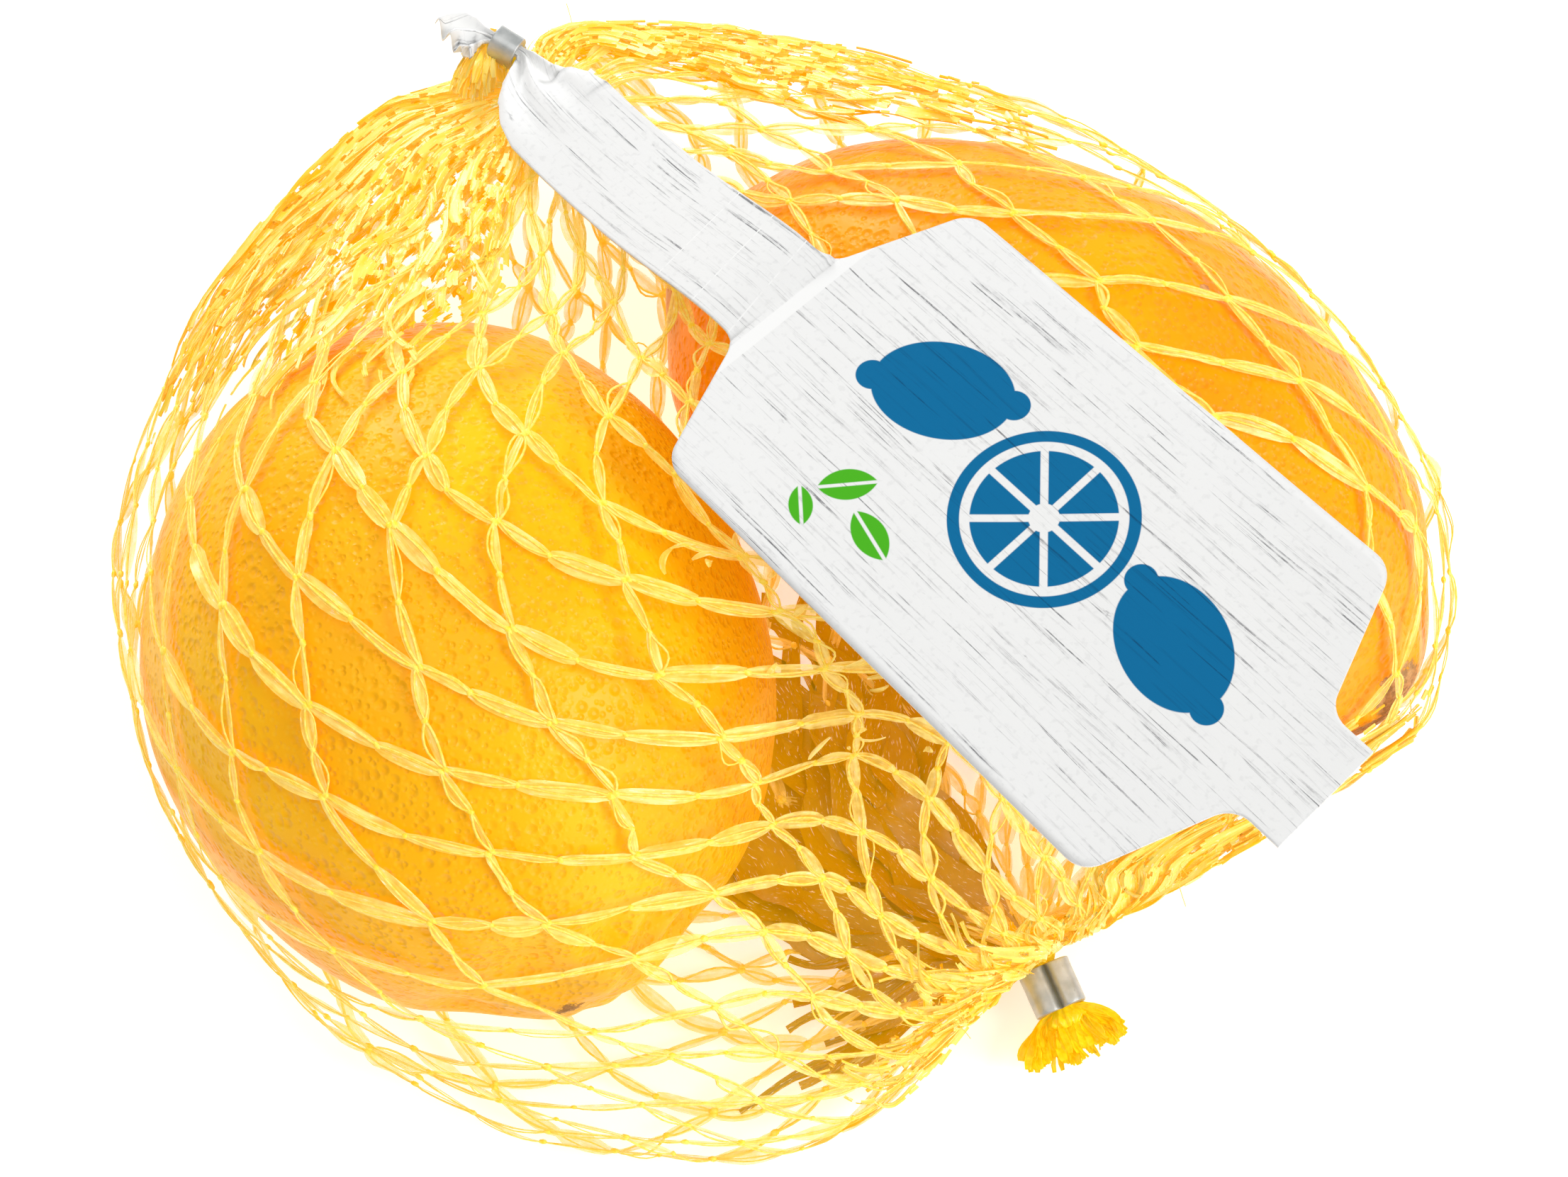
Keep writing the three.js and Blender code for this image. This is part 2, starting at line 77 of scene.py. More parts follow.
UPPER_CLIP = dict(
    at=np.array([-27.6, 53.7, 34.6]), axis=unit([-0.84, 0.53, 0.05]), length=2.8, bore=(1.75, 1.0), wall=0.5,
    cleft=(0.57, 0.82, 0), below=np.array([-0.05, -0.15, -0.83]),
)
LOWER_CLIP = dict(
    at=np.array([27.1, -35.5, 4.2]), axis=unit([0.39, -0.92, -0.02]), length=4.8, bore=(1.95, 1.6), wall=0.7,
    cleft=(0, -0.1, 1), below=np.zeros(3),
)
NOTCHES = {"upper": (0.55, 0.55, (-0.4, -0.57, -0.72)), "lower": (0.2, 0.25, (-0.92, -0.39, 0))}
LABEL_ABOVE = np.array([0.05, 0.15, 0.83])
LABEL = dict(width=37.9, length=52.5, neck=11.5, stub=10.3, shoulder=5.2, corner=2.8, thick=0.34)
LABEL_AT = np.array([21.2, -2.7, 60.6])
LABEL_ALONG = unit([0.6775, -0.7169, 0.1645])
LABEL_ACROSS = unit([0.7301, 0.6826, -0.0317])
LABEL_TWIST = 1.6
NECK_BEND, NECK_MIDDLE = (-24.3, 48.4, 37.4), (-13.6, 34.6, 45.4)
LABEL_BUNDLE = 0.62
LABEL_GATHER = [  # distance from the middle of the clip, half width, height of the folds
    (-7.2, 2.4, 1.0), (-6.3, 3.0, 0.9), (-5.0, 2.6, 0.8), (-3.8, 1.8, 0.5), (-2.7, 1.0, 0.3),
    (-1.8, LABEL_BUNDLE, 0.2), (0, LABEL_BUNDLE, 0.2), (1.8, LABEL_BUNDLE, 0.2),
    (2.7, 1.2, 0.35), (4, 2.0, 0.6), (5.4, 3.0, 0.5), (7, 4.1, 0.35), (9, 5.1, 0.2), (12, 5.75, 0.1),
]
LABEL_CURL = np.array([0.01, -0.075, 0.02])

# ---- small helpers


def mix(a, b, t):
    return a + (b - a) * t


def bump(x):
    return np.exp(-np.square(x))


def smooth(a, b, x):
    t = np.clip((x - a) / (b - a), 0, 1)
    return t * t * (3 - 2 * t)


def circle(count):
    """Angles spread evenly round a full turn."""
    return 2 * np.pi * np.arange(count) / count


def together(*arrays):
    """One array of points from the arrays of their coordinates."""
    return np.stack(np.broadcast_arrays(*arrays), -1)


WAVES = 7  # the plane waves that make up a ripple


def ripples(points, pitch, seed):
    """Smooth seeded noise of about -1 to 1, from a few plane waves of that pitch."""
    draw = np.random.default_rng(seed)
    ways = unit(draw.normal(size=(WAVES, 3)))
    pitches = pitch * draw.uniform(0.7, 1.5, WAVES)
    starts = draw.uniform(0, 2 * np.pi, WAVES)
    return np.sin(points @ (ways * (2 * np.pi / pitches)[:, None]).T + starts).sum(-1) * (1.6 / WAVES)


def column_of(draw, count):
    """A function that draws one value between two limits for each of count strips."""
    return lambda low, high: draw.uniform(low, high, (count, 1))


def sideways_of(lines, normals):
    """The directions across lines that lie on a surface with those normals."""
    return unit(np.cross(normals, unit(np.gradient(lines, axis=1))))


def tilted(side, up, angle):
    return side * np.cos(angle)[..., None] + up * np.sin(angle)[..., None]


def add_object(name, data):
    obj = bpy.data.objects.new(name, data)
    bpy.context.scene.collection.objects.link(obj)
    return obj


def make_piece(name, points, faces, material, node="net_bag", uv=None, masks=None):
    """A smooth mesh that takes the place of a node's solid: points in the working frame, quads as rows."""
    mesh = bpy.data.meshes.new(name)
    points = (np.asarray(points).reshape(-1, 3) - ORIGIN) * MM
    loops = faces.ravel().astype(np.int32)
    mesh.vertices.add(len(points))
    mesh.vertices.foreach_set("co", points.astype(np.float32).ravel())
    mesh.loops.add(len(loops))
    mesh.loops.foreach_set("vertex_index", loops)
    mesh.polygons.add(len(faces))
    mesh.polygons.foreach_set("loop_start", np.arange(0, len(loops), 4, dtype=np.int32))
    mesh.polygons.foreach_set("loop_total", np.full(len(faces), 4, np.int32))
    mesh.polygons.foreach_set("use_smooth", np.ones(len(faces), bool))
    if uv is not None:
        layer = mesh.uv_layers.new(name="UVMap")
        layer.data.foreach_set("uv", np.asarray(uv, np.float32).reshape(-1, 2)[loops].ravel())
    for key, values in (masks or {}).items():
        attribute = mesh.attributes.new(key, "FLOAT", "POINT")
        attribute.data.foreach_set("value", np.asarray(values, np.float32).ravel())
    mesh.update()
    mesh.validate()
    mesh.materials.append(material)
    obj = add_object(name, mesh)
    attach(obj, "root")
    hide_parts(node)


def grid_faces(rows, columns, closed=False):
    """Quads of a grid of points stored row by row; closed joins the last column to the first."""
    r = np.arange(rows - 1)[:, None]
    c = np.arange(columns if closed else columns - 1)[None, :]
    n = (c + 1) % columns
    quads = np.stack([r * columns + c, r * columns + n, (r + 1) * columns + n, (r + 1) * columns + c], -1)
    return quads.reshape(-1, 4)


def many_grids(count, rows, columns, closed=False):
    """The same grid of quads for each of count strips, stored one after another."""
    one = grid_faces(rows, columns, closed)
    return (one[None] + (np.arange(count) * rows * columns)[:, None, None]).reshape(-1, 4)


# ---- shader maths


def maths(operation, swapped=False):
    """A method that puts a wire and its other values through a Math node, in that order or swapped."""
    def method(self, *others):
        values = (*others, self) if swapped else (self, *others)
        return self.shader.node("Math", {"operation": operation}, dict(enumerate(values)))
    return method


class Wire:
    """A shader socket that can be added, multiplied and so on, as its Math nodes do."""

    def __init__(self, shader, socket):
        self.shader = shader
        self.socket = socket

    __add__ = maths("ADD")
    __radd__ = maths("ADD", swapped=True)
    __sub__ = maths("SUBTRACT")
    __rsub__ = maths("SUBTRACT", swapped=True)
    __mul__ = maths("MULTIPLY")
    __rmul__ = maths("MULTIPLY", swapped=True)
    __truediv__ = maths("DIVIDE")
    __pow__ = maths("POWER")
    __abs__ = maths("ABSOLUTE")
    at_least = maths("MAXIMUM")
    at_most = maths("MINIMUM")
    root = maths("SQRT")
    part = maths("FRACT")
    angle_from = maths("ARCTAN2")

    def ramp(self, low, high):
        """0 below low and 1 above high, smoothly; low may be the larger one."""
        ends = {0: self, 1: min(low, high), 2: max(low, high), 3: float(low > high), 4: float(low < high)}
        return self.shader.node("MapRange", {"interpolation_type": "SMOOTHSTEP"}, ends)


class Shader:
    """A material in the making."""

    def __init__(self, name):
        self.material = bpy.data.materials.new(name)
        self.material.use_nodes = True
        self.tree = self.material.node_tree
        self.tree.nodes.clear()

    def node(self, kind, settings=None, values=None, out=0):
        """A node with its settings and its sockets' values, as a wire from one of its outputs."""
        made = self.tree.nodes.new("ShaderNode" + kind)
        for key, value in (settings or {}).items():
            setattr(made, key, value)
        for key, value in (values or {}).items():
            socket = made.inputs[key]
            if isinstance(value, Wire):
                self.tree.links.new(value.socket, socket)
            elif socket.type == "RGBA":
                socket.default_value = (*value, 1)
            else:
                socket.default_value = value
        return Wire(self, made.outputs[out])

    def place(self):
        """The point on the piece, in mm of the part's frame."""
        found = self.node("TexCoord", out="Object")
        return self.node("VectorMath", {"operation": "SCALE"}, {0: found, "Scale": 1 / MM})

    def uv(self):
        """Millimetres along and across the piece."""
        split = self.node("SeparateXYZ", {}, {0: self.node("UVMap", {"uv_map": "UVMap"})})
        return split, Wire(self, split.socket.node.outputs[1])

    def mask(self, name):
        return self.node("Attribute", {"attribute_name": name}, out="Fac")

    def blend(self, factor, a, b):
        settings = {"data_type": "RGBA", "clamp_factor": True}
        return self.node("Mix", settings, {0: factor, 6: a, 7: b}, out=2)

    def noise(self, vector, scale, detail, roughness=0.5):
        values = {"Vector": vector, "Scale": scale, "Detail": detail, "Roughness": roughness}
        return self.node("TexNoise", {}, values)

    def streaks(self, x, y, detail=3.0, roughness=0.5):
        """Noise over two lengths, each already at its own scale."""
        return self.noise(self.node("CombineXYZ", {}, {0: x, 1: y}), 1.0, detail, roughness)

    def cells(self, vector, scale):
        return self.node("TexVoronoi", {}, {"Vector": vector, "Scale": scale})

    def stretched(self, vector, by):
        return self.node("VectorMath", {"operation": "MULTIPLY"}, {0: vector, 1: by})

    def away(self, vector, point):
        """Distance in mm from a point given in the part's working frame."""
        spot = tuple(np.asarray(point, float) - ORIGIN)
        return self.node("VectorMath", {"operation": "DISTANCE"}, {0: vector, 1: spot}, out="Value")

    def relief(self, height, depth_mm, strength):
        values = {"Height": height, "Distance": depth_mm * MM, "Strength": strength}
        return self.node("Bump", {}, values)

    def finish(self, **values):
        """Ends the material in one Principled shader, with its sockets' values."""
        sockets = {key.replace("_", " "): value for key, value in values.items()}
        surface = self.node("BsdfPrincipled", {}, sockets)
        output = self.tree.nodes.new("ShaderNodeOutputMaterial")
        self.tree.links.new(surface.socket, output.inputs["Surface"])
        return self.material


# ---- the fruit


def lemon_axes(heading):
    """The unit directions along, across and up a fruit that lies at that heading."""
    turn = math.radians(heading)
    return np.array([[math.cos(turn), math.sin(turn), 0], [-math.sin(turn), math.cos(turn), 0], [0, 0, 1.0]])


def lemon_points(phi, theta, at, length, width, height, heading, bend):
    """An egg-round body that draws out into a nipple at each end; phi runs from end to end."""
    tips = bump(phi / NIPPLE_SPREAD) - bump((np.pi - phi) / NIPPLE_SPREAD)
    ahead = length * np.cos(phi) + NIPPLE * tips
    sideways = np.sin(phi) * np.cos(theta) * width + bend * (np.cos(phi) ** 2 - 1 / 3)
    up = np.sin(phi) * np.sin(theta) * height
    return np.asarray(at) + together(ahead, sideways, up) @ lemon_axes(heading)


FLOOR_GAP = 0.45  # the net's thickness under the fruit
FLOOR_EASE = 0.25  # how softly the flat there begins
PEEL_ROWS, PEEL_COLUMNS = 154, 216
COLLAR_AT, COLLAR_SPREAD, COLLAR_FOLDS = 0.40, 0.13, 9  # the wrinkled ring round each end


def make_lemon(name, material, seed, knob):
    """One fruit: uneven flanks, a wrinkled collar round each end, and a flat where it lies."""
    phi = np.clip(np.linspace(0, np.pi, PEEL_ROWS), 1e-3, np.pi - 1e-3)
    phi, theta = np.meshgrid(phi, circle(PEEL_COLUMNS), indexing="ij")
    points = lemon_points(phi, theta, **LEMONS[name])
    outward = unit(points - LEMONS[name]["at"])
    # Broad unevenness only goes inwards, so that the net stays off the peel.
    dents = 0.35 * (ripples(points, 34, seed) - 1) + 0.12 * (ripples(points, 11, seed + 1) - 1)
    for end, amount in ((phi, knob[0]), (np.pi - phi, knob[1])):
        collar = bump((end - COLLAR_AT) / COLLAR_SPREAD)
        folds = 0.5 + 0.5 * np.sin(COLLAR_FOLDS * theta + 2 * np.sin(2 * theta + seed) + 3 * end)
        dents -= amount * collar * (0.35 + 0.65 * folds)
        dents -= 0.5 * amount * bump(end / 0.10)
        dents -= 0.35 * amount * bump((end - 0.24) / 0.14) * (0.5 + 0.5 * np.sin(5 * theta + seed))
    points = points + outward * dents[..., None]
    points[..., 2] = FLOOR_GAP + np.logaddexp(0, (points[..., 2] - FLOOR_GAP) / FLOOR_EASE) * FLOOR_EASE
    make_piece(name, points, grid_faces(PEEL_ROWS, PEEL_COLUMNS, True), material)


def peel_material(name, light, deep, scars, tones_and_painted_shade):
    """Waxy pitted peel with darker oil glands, blushes of deeper colour and corky scars; some blushes are
    painted shade, and its faint glow is painted light.
    """
    s = Shader(name)
    p = s.place()
    drift = s.noise(p, 0.045, 2.0)
    colour = s.blend(drift.ramp(0.3, 0.7), light, deep)
    pits = s.cells(p, 0.78)
    fine = s.cells(p, 1.5)
    small = s.cells(p, 1.15)
    gland = pits.ramp(0.5, 0.12).at_least(small.ramp(0.42, 0.10) * 0.7)
    speck = fine.ramp(0.5, 0.1)
    patchy = s.noise(p, 0.11, 2.0).ramp(0.35, 0.65)
    colour = s.blend(gland * (0.15 + patchy * 0.12), colour, (deep[0], deep[1] * 0.76, 0.0))
    colour = s.blend(speck * 0.12, colour, (1.0, min(1, light[1] * 1.2), 0.06))
    # Deeper tones; those on the round fruit's lower left flank and on the slim fruit's stem end are painted
    # shade.
    for point, radius, shade, amount in tones_and_painted_shade:
        near = (s.away(p, point) + s.noise(p, 0.25, 3.0) * radius * 0.5).ramp(radius * 1.35, radius * 0.4)
        colour = s.blend(near * amount, colour, shade)
    rough = 0.27 + s.noise(p, 0.3, 3.0) * 0.12
    height = 1 - gland * 0.8 - speck * 0.15 + s.noise(p, 0.22, 3.0) * 0.8
    for point, radius, cork in scars:
        ragged = s.away(p, point) + (s.noise(p, 0.9, 4.0, 0.7) - 0.5) * radius * 1.3
        scar = ragged.ramp(radius, radius * 0.8)
        crust = s.noise(p, 1.6, 4.0, 0.7)
        bark = s.blend(crust.ramp(0.35, 0.65), cork, tuple(c * 1.9 for c in cork))
        colour = s.blend(scar * 0.92, colour, bark)
        rough = rough + scar * 0.35
        height = height + scar * (crust - 0.2) * 2
    # The faint glow in the peel's own colour is painted light that lifts the shade on its flanks.
    return s.finish(Base_Color=colour, Roughness=rough, Normal=s.relief(height, 0.24, 0.8),
                    Specular_IOR_Level=0.2, Emission_Color=colour, Emission_Strength=0.09)


# ---- the net's envelope


APEX_BACK = 1.6  # the taut hull ends this far short of each clip
HULL_PLANES, HULL_POINTS = 2600, (33, 48)  # planes, and the points on each fruit that they touch
LEAST_FACING = 0.1  # planes seen more aslant than this are left out
HALVINGS = 24  # steps of the search for where a notch cuts the hull


def neck_at(clip, d):
    """The middle of the net's neck, at a distance along the clip's axis."""
    return clip["at"] + clip["axis"] * d + clip["below"]


APEXES = {
    key: (neck_at(clip, -clip["length"] / 2 - APEX_BACK), clip["axis"])
    for key, clip in (("upper", UPPER_CLIP), ("lower", LOWER_CLIP))
}


def directions(count):
    """Unit directions spread evenly over a ball, along a golden spiral."""
    i = np.arange(count)
    z = 1 - (2 * i + 1) / count
    turn = i * np.pi * (3 - math.sqrt(5))
    flat = np.sqrt(1 - z * z)
    return np.stack([flat * np.cos(turn), flat * np.sin(turn), z], -1)


def taut_planes():
    """The planes of the taut hull round the fruit, the rim and the two ends."""
    normals = directions(HULL_PLANES)
    phi, theta = np.meshgrid(np.linspace(0, np.pi, HULL_POINTS[0]), circle(HULL_POINTS[1]))
    fruit = np.concatenate([lemon_points(phi, theta, **f).reshape(-1, 3) for f in LEMONS.values()]) - CENTRE
    reach = NET_GAP + (fruit @ normals.T).max(0)
    reach = np.maximum(reach, RIM_FOLD + ((RIM - CENTRE) @ normals.T).max(0))
    for at, _ in APEXES.values():
        reach = np.maximum(reach, (at - CENTRE) @ normals.T)
    return normals, reach


def envelope_reach(ways, normals, reach):
    """Distance from CENTRE to the envelope along each unit direction."""
    facing = ways @ normals.T
    out = np.where(facing > LEAST_FACING, reach / np.maximum(facing, LEAST_FACING), np.inf).min(-1)
    for toward, depth, spread in SAGS:
        out = out - depth * bump(np.arccos(np.clip(ways @ unit(toward), -1, 1)) / spread)
    for key, (slope, lean, steep) in NOTCHES.items():
        at, axis = APEXES[key]

        def past(r):
            p = CENTRE + ways * r[..., None] - at
            ahead = p @ axis
            p = p - ahead[..., None] * axis
            return ahead - slope * np.linalg.norm(p, axis=-1) - lean * (p @ np.array(steep))

        low, high = np.zeros_like(out), out.copy()
        for _ in range(HALVINGS):
            middle = (low + high) / 2
            outside = past(middle) > 0
            high = np.where(outside, middle, high)
            low = np.where(outside, low, middle)
        out = np.where(past(out) > 0, high, out)
    return out


ROUND, LONG = 144, 108  # the envelope's table: points round the tube and steps along it
END_ANGLE = 0.03
SPAN_SHARE, SPAN_SPREAD, SPAN_PASSES = 0.5, 0.55, 70  # how the net is evened out over the low sag


def run_along(lines):
    """The distance from the start of each line (n, points, 3) to each of its points."""
    run = np.cumsum(np.linalg.norm(np.diff(lines, axis=1), axis=-1), 1)
    return np.concatenate([np.zeros((len(lines), 1)), run], 1)


def evenly(lines, count):
    """Resamples each polyline (n, points, 3) into count + 1 points of equal spacing."""
    run = run_along(lines)
    out = np.empty((len(lines), count + 1, 3))
    for n, line in enumerate(lines):
        want = np.linspace(0, run[n, -1], count + 1)
        for axis in range(3):
            out[n, :, axis] = np.interp(want, run[n], line[:, axis])
    return out


def tube_table():
    """The envelope as a tube: lines of points that run evenly from the upper clip to the lower one."""
    normals, reach = taut_planes()
    to_upper = unit(APEXES["upper"][0] - CENTRE)
    to_lower = unit(APEXES["lower"][0] - CENTRE)
    pole = unit(to_upper - to_lower)
    down = unit(np.array([0, 0, -1.0]) + pole * pole[2])
    side = np.cross(down, pole)
    rows = []
    alpha = 2 * np.pi * (np.arange(ROUND + 1) % ROUND) / ROUND
    for beta in np.linspace(END_ANGLE, np.pi - END_ANGLE, LONG + 1):
        toward, away = ((1 + math.cos(beta)) / 2) ** 2, ((1 - math.cos(beta)) / 2) ** 2
        ring = np.cos(alpha)[:, None] * down + np.sin(alpha)[:, None] * side
        ways = pole * math.cos(beta) + math.sin(beta) * ring
        ways = unit(ways + (to_upper - pole) * toward + (to_lower + pole) * away)
        rows.append(CENTRE + ways * envelope_reach(ways, normals, reach)[:, None])
    rows = evenly(np.array(rows), ROUND)[:, :ROUND]
    return evenly(rows.transpose(1, 0, 2), LONG)  # wale by wale, from end to end


def spanned(table):
    """The net spans the hollow between the fruit in an easy sweep: its wales are evened out there."""
    toward = np.arccos(np.clip(unit(table - CENTRE) @ unit(LOW_SAG[0]), -1, 1))
    share = SPAN_SHARE * bump(toward / SPAN_SPREAD)[:, 1:-1, None]
    for _ in range(SPAN_PASSES):
        table[:, 1:-1] += share * ((table[:, :-2] + table[:, 2:]) / 2 - table[:, 1:-1])
    return table


TUBE = spanned(tube_table())
TUBE_OUT = unit(np.cross(np.gradient(TUBE, axis=1), np.roll(TUBE, -1, 0) - np.roll(TUBE, 1, 0)))
if (TUBE_OUT * (TUBE - CENTRE)).sum() < 0:
    TUBE_OUT = -TUBE_OUT


def on_tube(u, v):
    """The envelope's points and outward normals; u goes round the tube and v from the upper clip."""
    x = ((u + TWIST * v) % 1) * ROUND
    y = np.clip(v, 0, 1) * LONG
    i = np.floor(x).astype(int) % ROUND
    j = np.minimum(np.floor(y).astype(int), LONG - 1)
    a, b = (x - np.floor(x))[..., None], (y - j)[..., None]
    n = (i + 1) % ROUND

    def between(table):
        return mix(mix(table[i, j], table[n, j], a), mix(table[i, j + 1], table[n, j + 1], a), b)

    return between(TUBE), unit(between(TUBE_OUT))


# ---- the net's strands

NET_DEPTH = 0.62  # how far the strands lie inside the envelope
TAPE_WIDTH = (1.75, 1.15)  # the film of the strands that lean one way, and of those that lean the other way
TAPE_PINCH = 0.5  # a tape's width at its knots, as a share of the widest
THREAD_WIDTH = 0.24
FLOOR_SKIN = 0.04  # nothing of the net is lower than this
PLEATS, PLEAT_DEPTH, PLEAT_SPREAD = 23, 2.2, 0.10  # where the net gathers towards each clip
STRAY = (0.13, 0.10)  # how far knots stray round the tube and along it, in half wales and courses
SLACK = (4, 14)  # the net counts as slack from the first distance off the peel, and fully from the second
STRAY_BY_CLIP = 2.0  # how much more slack knots stray near the upper clip
STRAY_FLOOR = 12  # knots lower than this don't stray more, however slack the net is
CROSSING, MIDDLE_STRAY = 0.045, (0.07, 0.05)  # how far apart strands cross, and how their middles stray
STRAND_STEPS, THREAD_SIDES, THREAD_FLAT = 8, 4, 0.55


def fruit_gap(points, shape):
    """Distance from points to a fruit's flank, negative inside it, and the way straight out of it."""
    axes = lemon_axes(shape["heading"])
    size = np.array([shape["length"], shape["width"], shape["height"]])
    local = (points - np.array(shape["at"])) @ axes.T
    local[..., 1] -= shape["bend"] * (np.clip(local[..., 0] / size[0], -1, 1) ** 2 - 1 / 3)
    reach = np.linalg.norm(local / size, axis=-1)
    slope = local / size ** 2 / np.maximum(reach, 1e-6)[..., None]
    steep = np.linalg.norm(slope, axis=-1)
    return (reach - 1) / steep, (slope / steep[..., None]) @ axes


def settle(points, gap, floor=FLOOR_SKIN):
    """Moves points out of the fruit, to stay that far off the peel, and off the floor."""
    for shape in LEMONS.values():
        distance, way = fruit_gap(points, shape)
        points = points + way * np.maximum(gap - distance, 0)[..., None]
    points[..., 2] = np.maximum(points[..., 2], floor)
    return points


def gathered_depth(v):
    """How far the pleats stack inwards towards each clip."""
    return PLEAT_DEPTH * bump(v / PLEAT_SPREAD) + PLEAT_DEPTH * bump((1 - v) / PLEAT_SPREAD)


def strand_nodes():
    """Where the knots lie: the crossings, one row for each course. They stray more where the net is slack."""
    draw = np.random.default_rng(SEED)
    keys = [(k, j) for j in range(COURSES + 1) for k in range(j % 2, 2 * WALES, 2)]
    k, j = np.array(keys, float).T
    spots = on_tube(k / (2 * WALES), j / COURSES)[0]
    slack = np.minimum(*[fruit_gap(spots, shape)[0] for shape in LEMONS.values()])
    more = STRAY_BY_CLIP * smooth(0.4, 0.25, j / COURSES) - 0.4
    stray = 1 + more * smooth(*SLACK, slack) * (spots[:, 2] > STRAY_FLOOR)
    inner = np.minimum(1, 3 * np.minimum(j, COURSES - j) / COURSES)
    k = k + draw.normal(0, STRAY[0], len(k)) * stray
    j = j + draw.normal(0, STRAY[1], len(k)) * stray * inner
    return dict(zip(keys, zip(k, j)))


def strand_halves():
    """The two ends of every half side, as (k, j) pairs, and the side that its strand leans to."""
    draw = np.random.default_rng(SEED + 1)
    nodes = strand_nodes()
    starts, ends, leans = [], [], []
    for (k, j), (x, y) in nodes.items():
        if j == COURSES:
            continue
        for lean in (-1, 1):
            other = nodes[(k + lean) % (2 * WALES), j + 1]
            x2 = other[0] + 2 * WALES * ((k + lean) // (2 * WALES))
            shift = CROSSING * lean
            middle = ((x + x2) / 2 + draw.normal(0, MIDDLE_STRAY[0]),
                      (y + other[1]) / 2 + draw.normal(0, MIDDLE_STRAY[1]))
            starts += [(x + shift, y), middle]
            ends += [middle, (x2 - shift, other[1])]
            leans += [lean, lean]
    return np.array(starts), np.array(ends), np.array(leans)


def on_net(k, j, depth=NET_DEPTH):
    """Points and normals of the net at half wale k and course j, in among its pleats near the clips."""
    u, v = k / (2 * WALES), np.clip(j / COURSES, 0, 1)
    p, n = on_tube(u, v)
    pleat = gathered_depth(v) * (0.5 + 0.5 * np.sin(u * 2 * np.pi * PLEATS + 3 * np.sin(v * 9)))
    return p - n * (depth + pleat)[..., None], n


def strand_lines():
    """Points, normals and sideways directions along every half side, with t and v along it and its lean."""
    starts, ends, leans = strand_halves()
    t = np.linspace(0, 1, STRAND_STEPS)[None, :]
    k, j = mix(starts[:, 0:1], ends[:, 0:1], t), mix(starts[:, 1:2], ends[:, 1:2], t)
    p, n = on_net(k, j)
    p = settle(p, 0.35, 0.3)
    return p, n, sideways_of(p, n), t, j / COURSES, leans


def strip_uv(p, width, c, draw):
    """Millimetres along and across each strip, each strip starting somewhere else."""
    along = run_along(p)[..., None] + draw.uniform(0, 500, (len(p), 1, 1))
    return together(along, width[..., None] / 2 * c + draw.uniform(0, 500, (len(p), 1, 1)))


OPENING_LONG, OPENINGS_ROUND = 2.9, 17  # an opening's pitch away from the clip, in mm, and round it
OPENING_BEND, BEND_PITCH, SIZE_PITCH = 0.35, 9, 16
SCRAMBLE = ((127.1, 311.7), (269.5, 183.3))  # turns a cell's two numbers into a place in it
SCRAMBLE_SPREAD = 437.6


def is_open(points, clip, share):
    """Where gathered film has the net's openings, drawn out from a clip and the same in every layer."""
    ahead = -unit(clip["axis"][:2])
    q = points[..., :2] - clip["at"][:2]
    flat = points * [1, 1, 0]
    bend = ripples(flat, BEND_PITCH, SEED + 70)
    x = np.linalg.norm(q, axis=-1) / OPENING_LONG + OPENING_BEND * bend
    y = np.arctan2(q @ np.array([-ahead[1], ahead[0]]), q @ ahead) * OPENINGS_ROUND + 0.4 * bend
    i, j = np.floor(x), np.floor(y)
    nearest = np.full(x.shape, 9.0)
    for a in (-1, 0, 1):
        for b in (-1, 0, 1):
            mixed = np.stack([(i + a) * by_x + (j + b) * by_y for by_x, by_y in SCRAMBLE])
            jitter = np.sin(mixed) * SCRAMBLE_SPREAD % 1
            nearest = np.minimum(nearest, np.hypot(x - i - a - jitter[0], y - j - b - jitter[1]))
    return nearest < share * (0.55 + 0.45 * smooth(-0.6, 0.4, ripples(flat, SIZE_PITCH, SEED + 71)))


def make_strips(name, p, side, up, width, pleat, waves, material, draw, gap=0.12, columns=7, openings=None):
    """Strips of film along lines (count, steps, 3), pleated lengthwise. They replace the net's solid."""
    count, steps = p.shape[:2]
    c = np.linspace(-1, 1, columns)
    phase = draw.uniform(0, 2 * np.pi, (count, 1, 1))
    fold = (pleat + 0 * width)[..., None] * np.sin(np.pi * waves * c + phase)
    points = p[:, :, None] + side[:, :, None] * (width[..., None] / 2 * c)[..., None]
    points = settle(points + up[:, :, None] * fold[..., None], gap)
    faces = many_grids(count, steps, columns)
    if openings:
        faces = faces[~is_open(points.reshape(-1, 3)[faces].mean(1), *openings)]
    make_piece(name, points, faces, material, uv=strip_uv(p, width, c, draw))


def make_tapes(material):
    """The flat film of each half side: pinched at its knots, pleated, and turned a little on its way."""
    p, n, across, t, _, leans = strand_lines()
    count = len(p)
    draw = np.random.default_rng(SEED + 2)
    each = column_of(draw, count)
    belly = np.sin(np.pi * t) ** 0.6
    broad = np.where(leans > 0, TAPE_WIDTH[1], TAPE_WIDTH[0])[:, None]
    width = broad * each(0.62, 1.2) * (TAPE_PINCH + (1 - TAPE_PINCH) * belly)
    tilt = draw.normal(0, 0.42, (count, 1)) * np.sin(np.pi * t)
    pleat = each(0.03, 0.12) * belly
    make_strips("net_tapes", p + n * 0.05, tilted(across, n, tilt), n, width, pleat, 2.3, material, draw)


def tubes(lines, radius, sides, normal, flat=1.0):
    """Thin filaments along each line of (count, steps, 3); flat is their thickness to their width."""
    side = sideways_of(lines, normal)
    up = np.cross(unit(np.gradient(lines, axis=1)), side)
    turn = circle(sides)[:, None]
    ring = np.cos(turn) * side[:, :, None] + flat * np.sin(turn) * up[:, :, None]
    return lines[:, :, None] + ring * np.asarray(radius)[..., None, None]


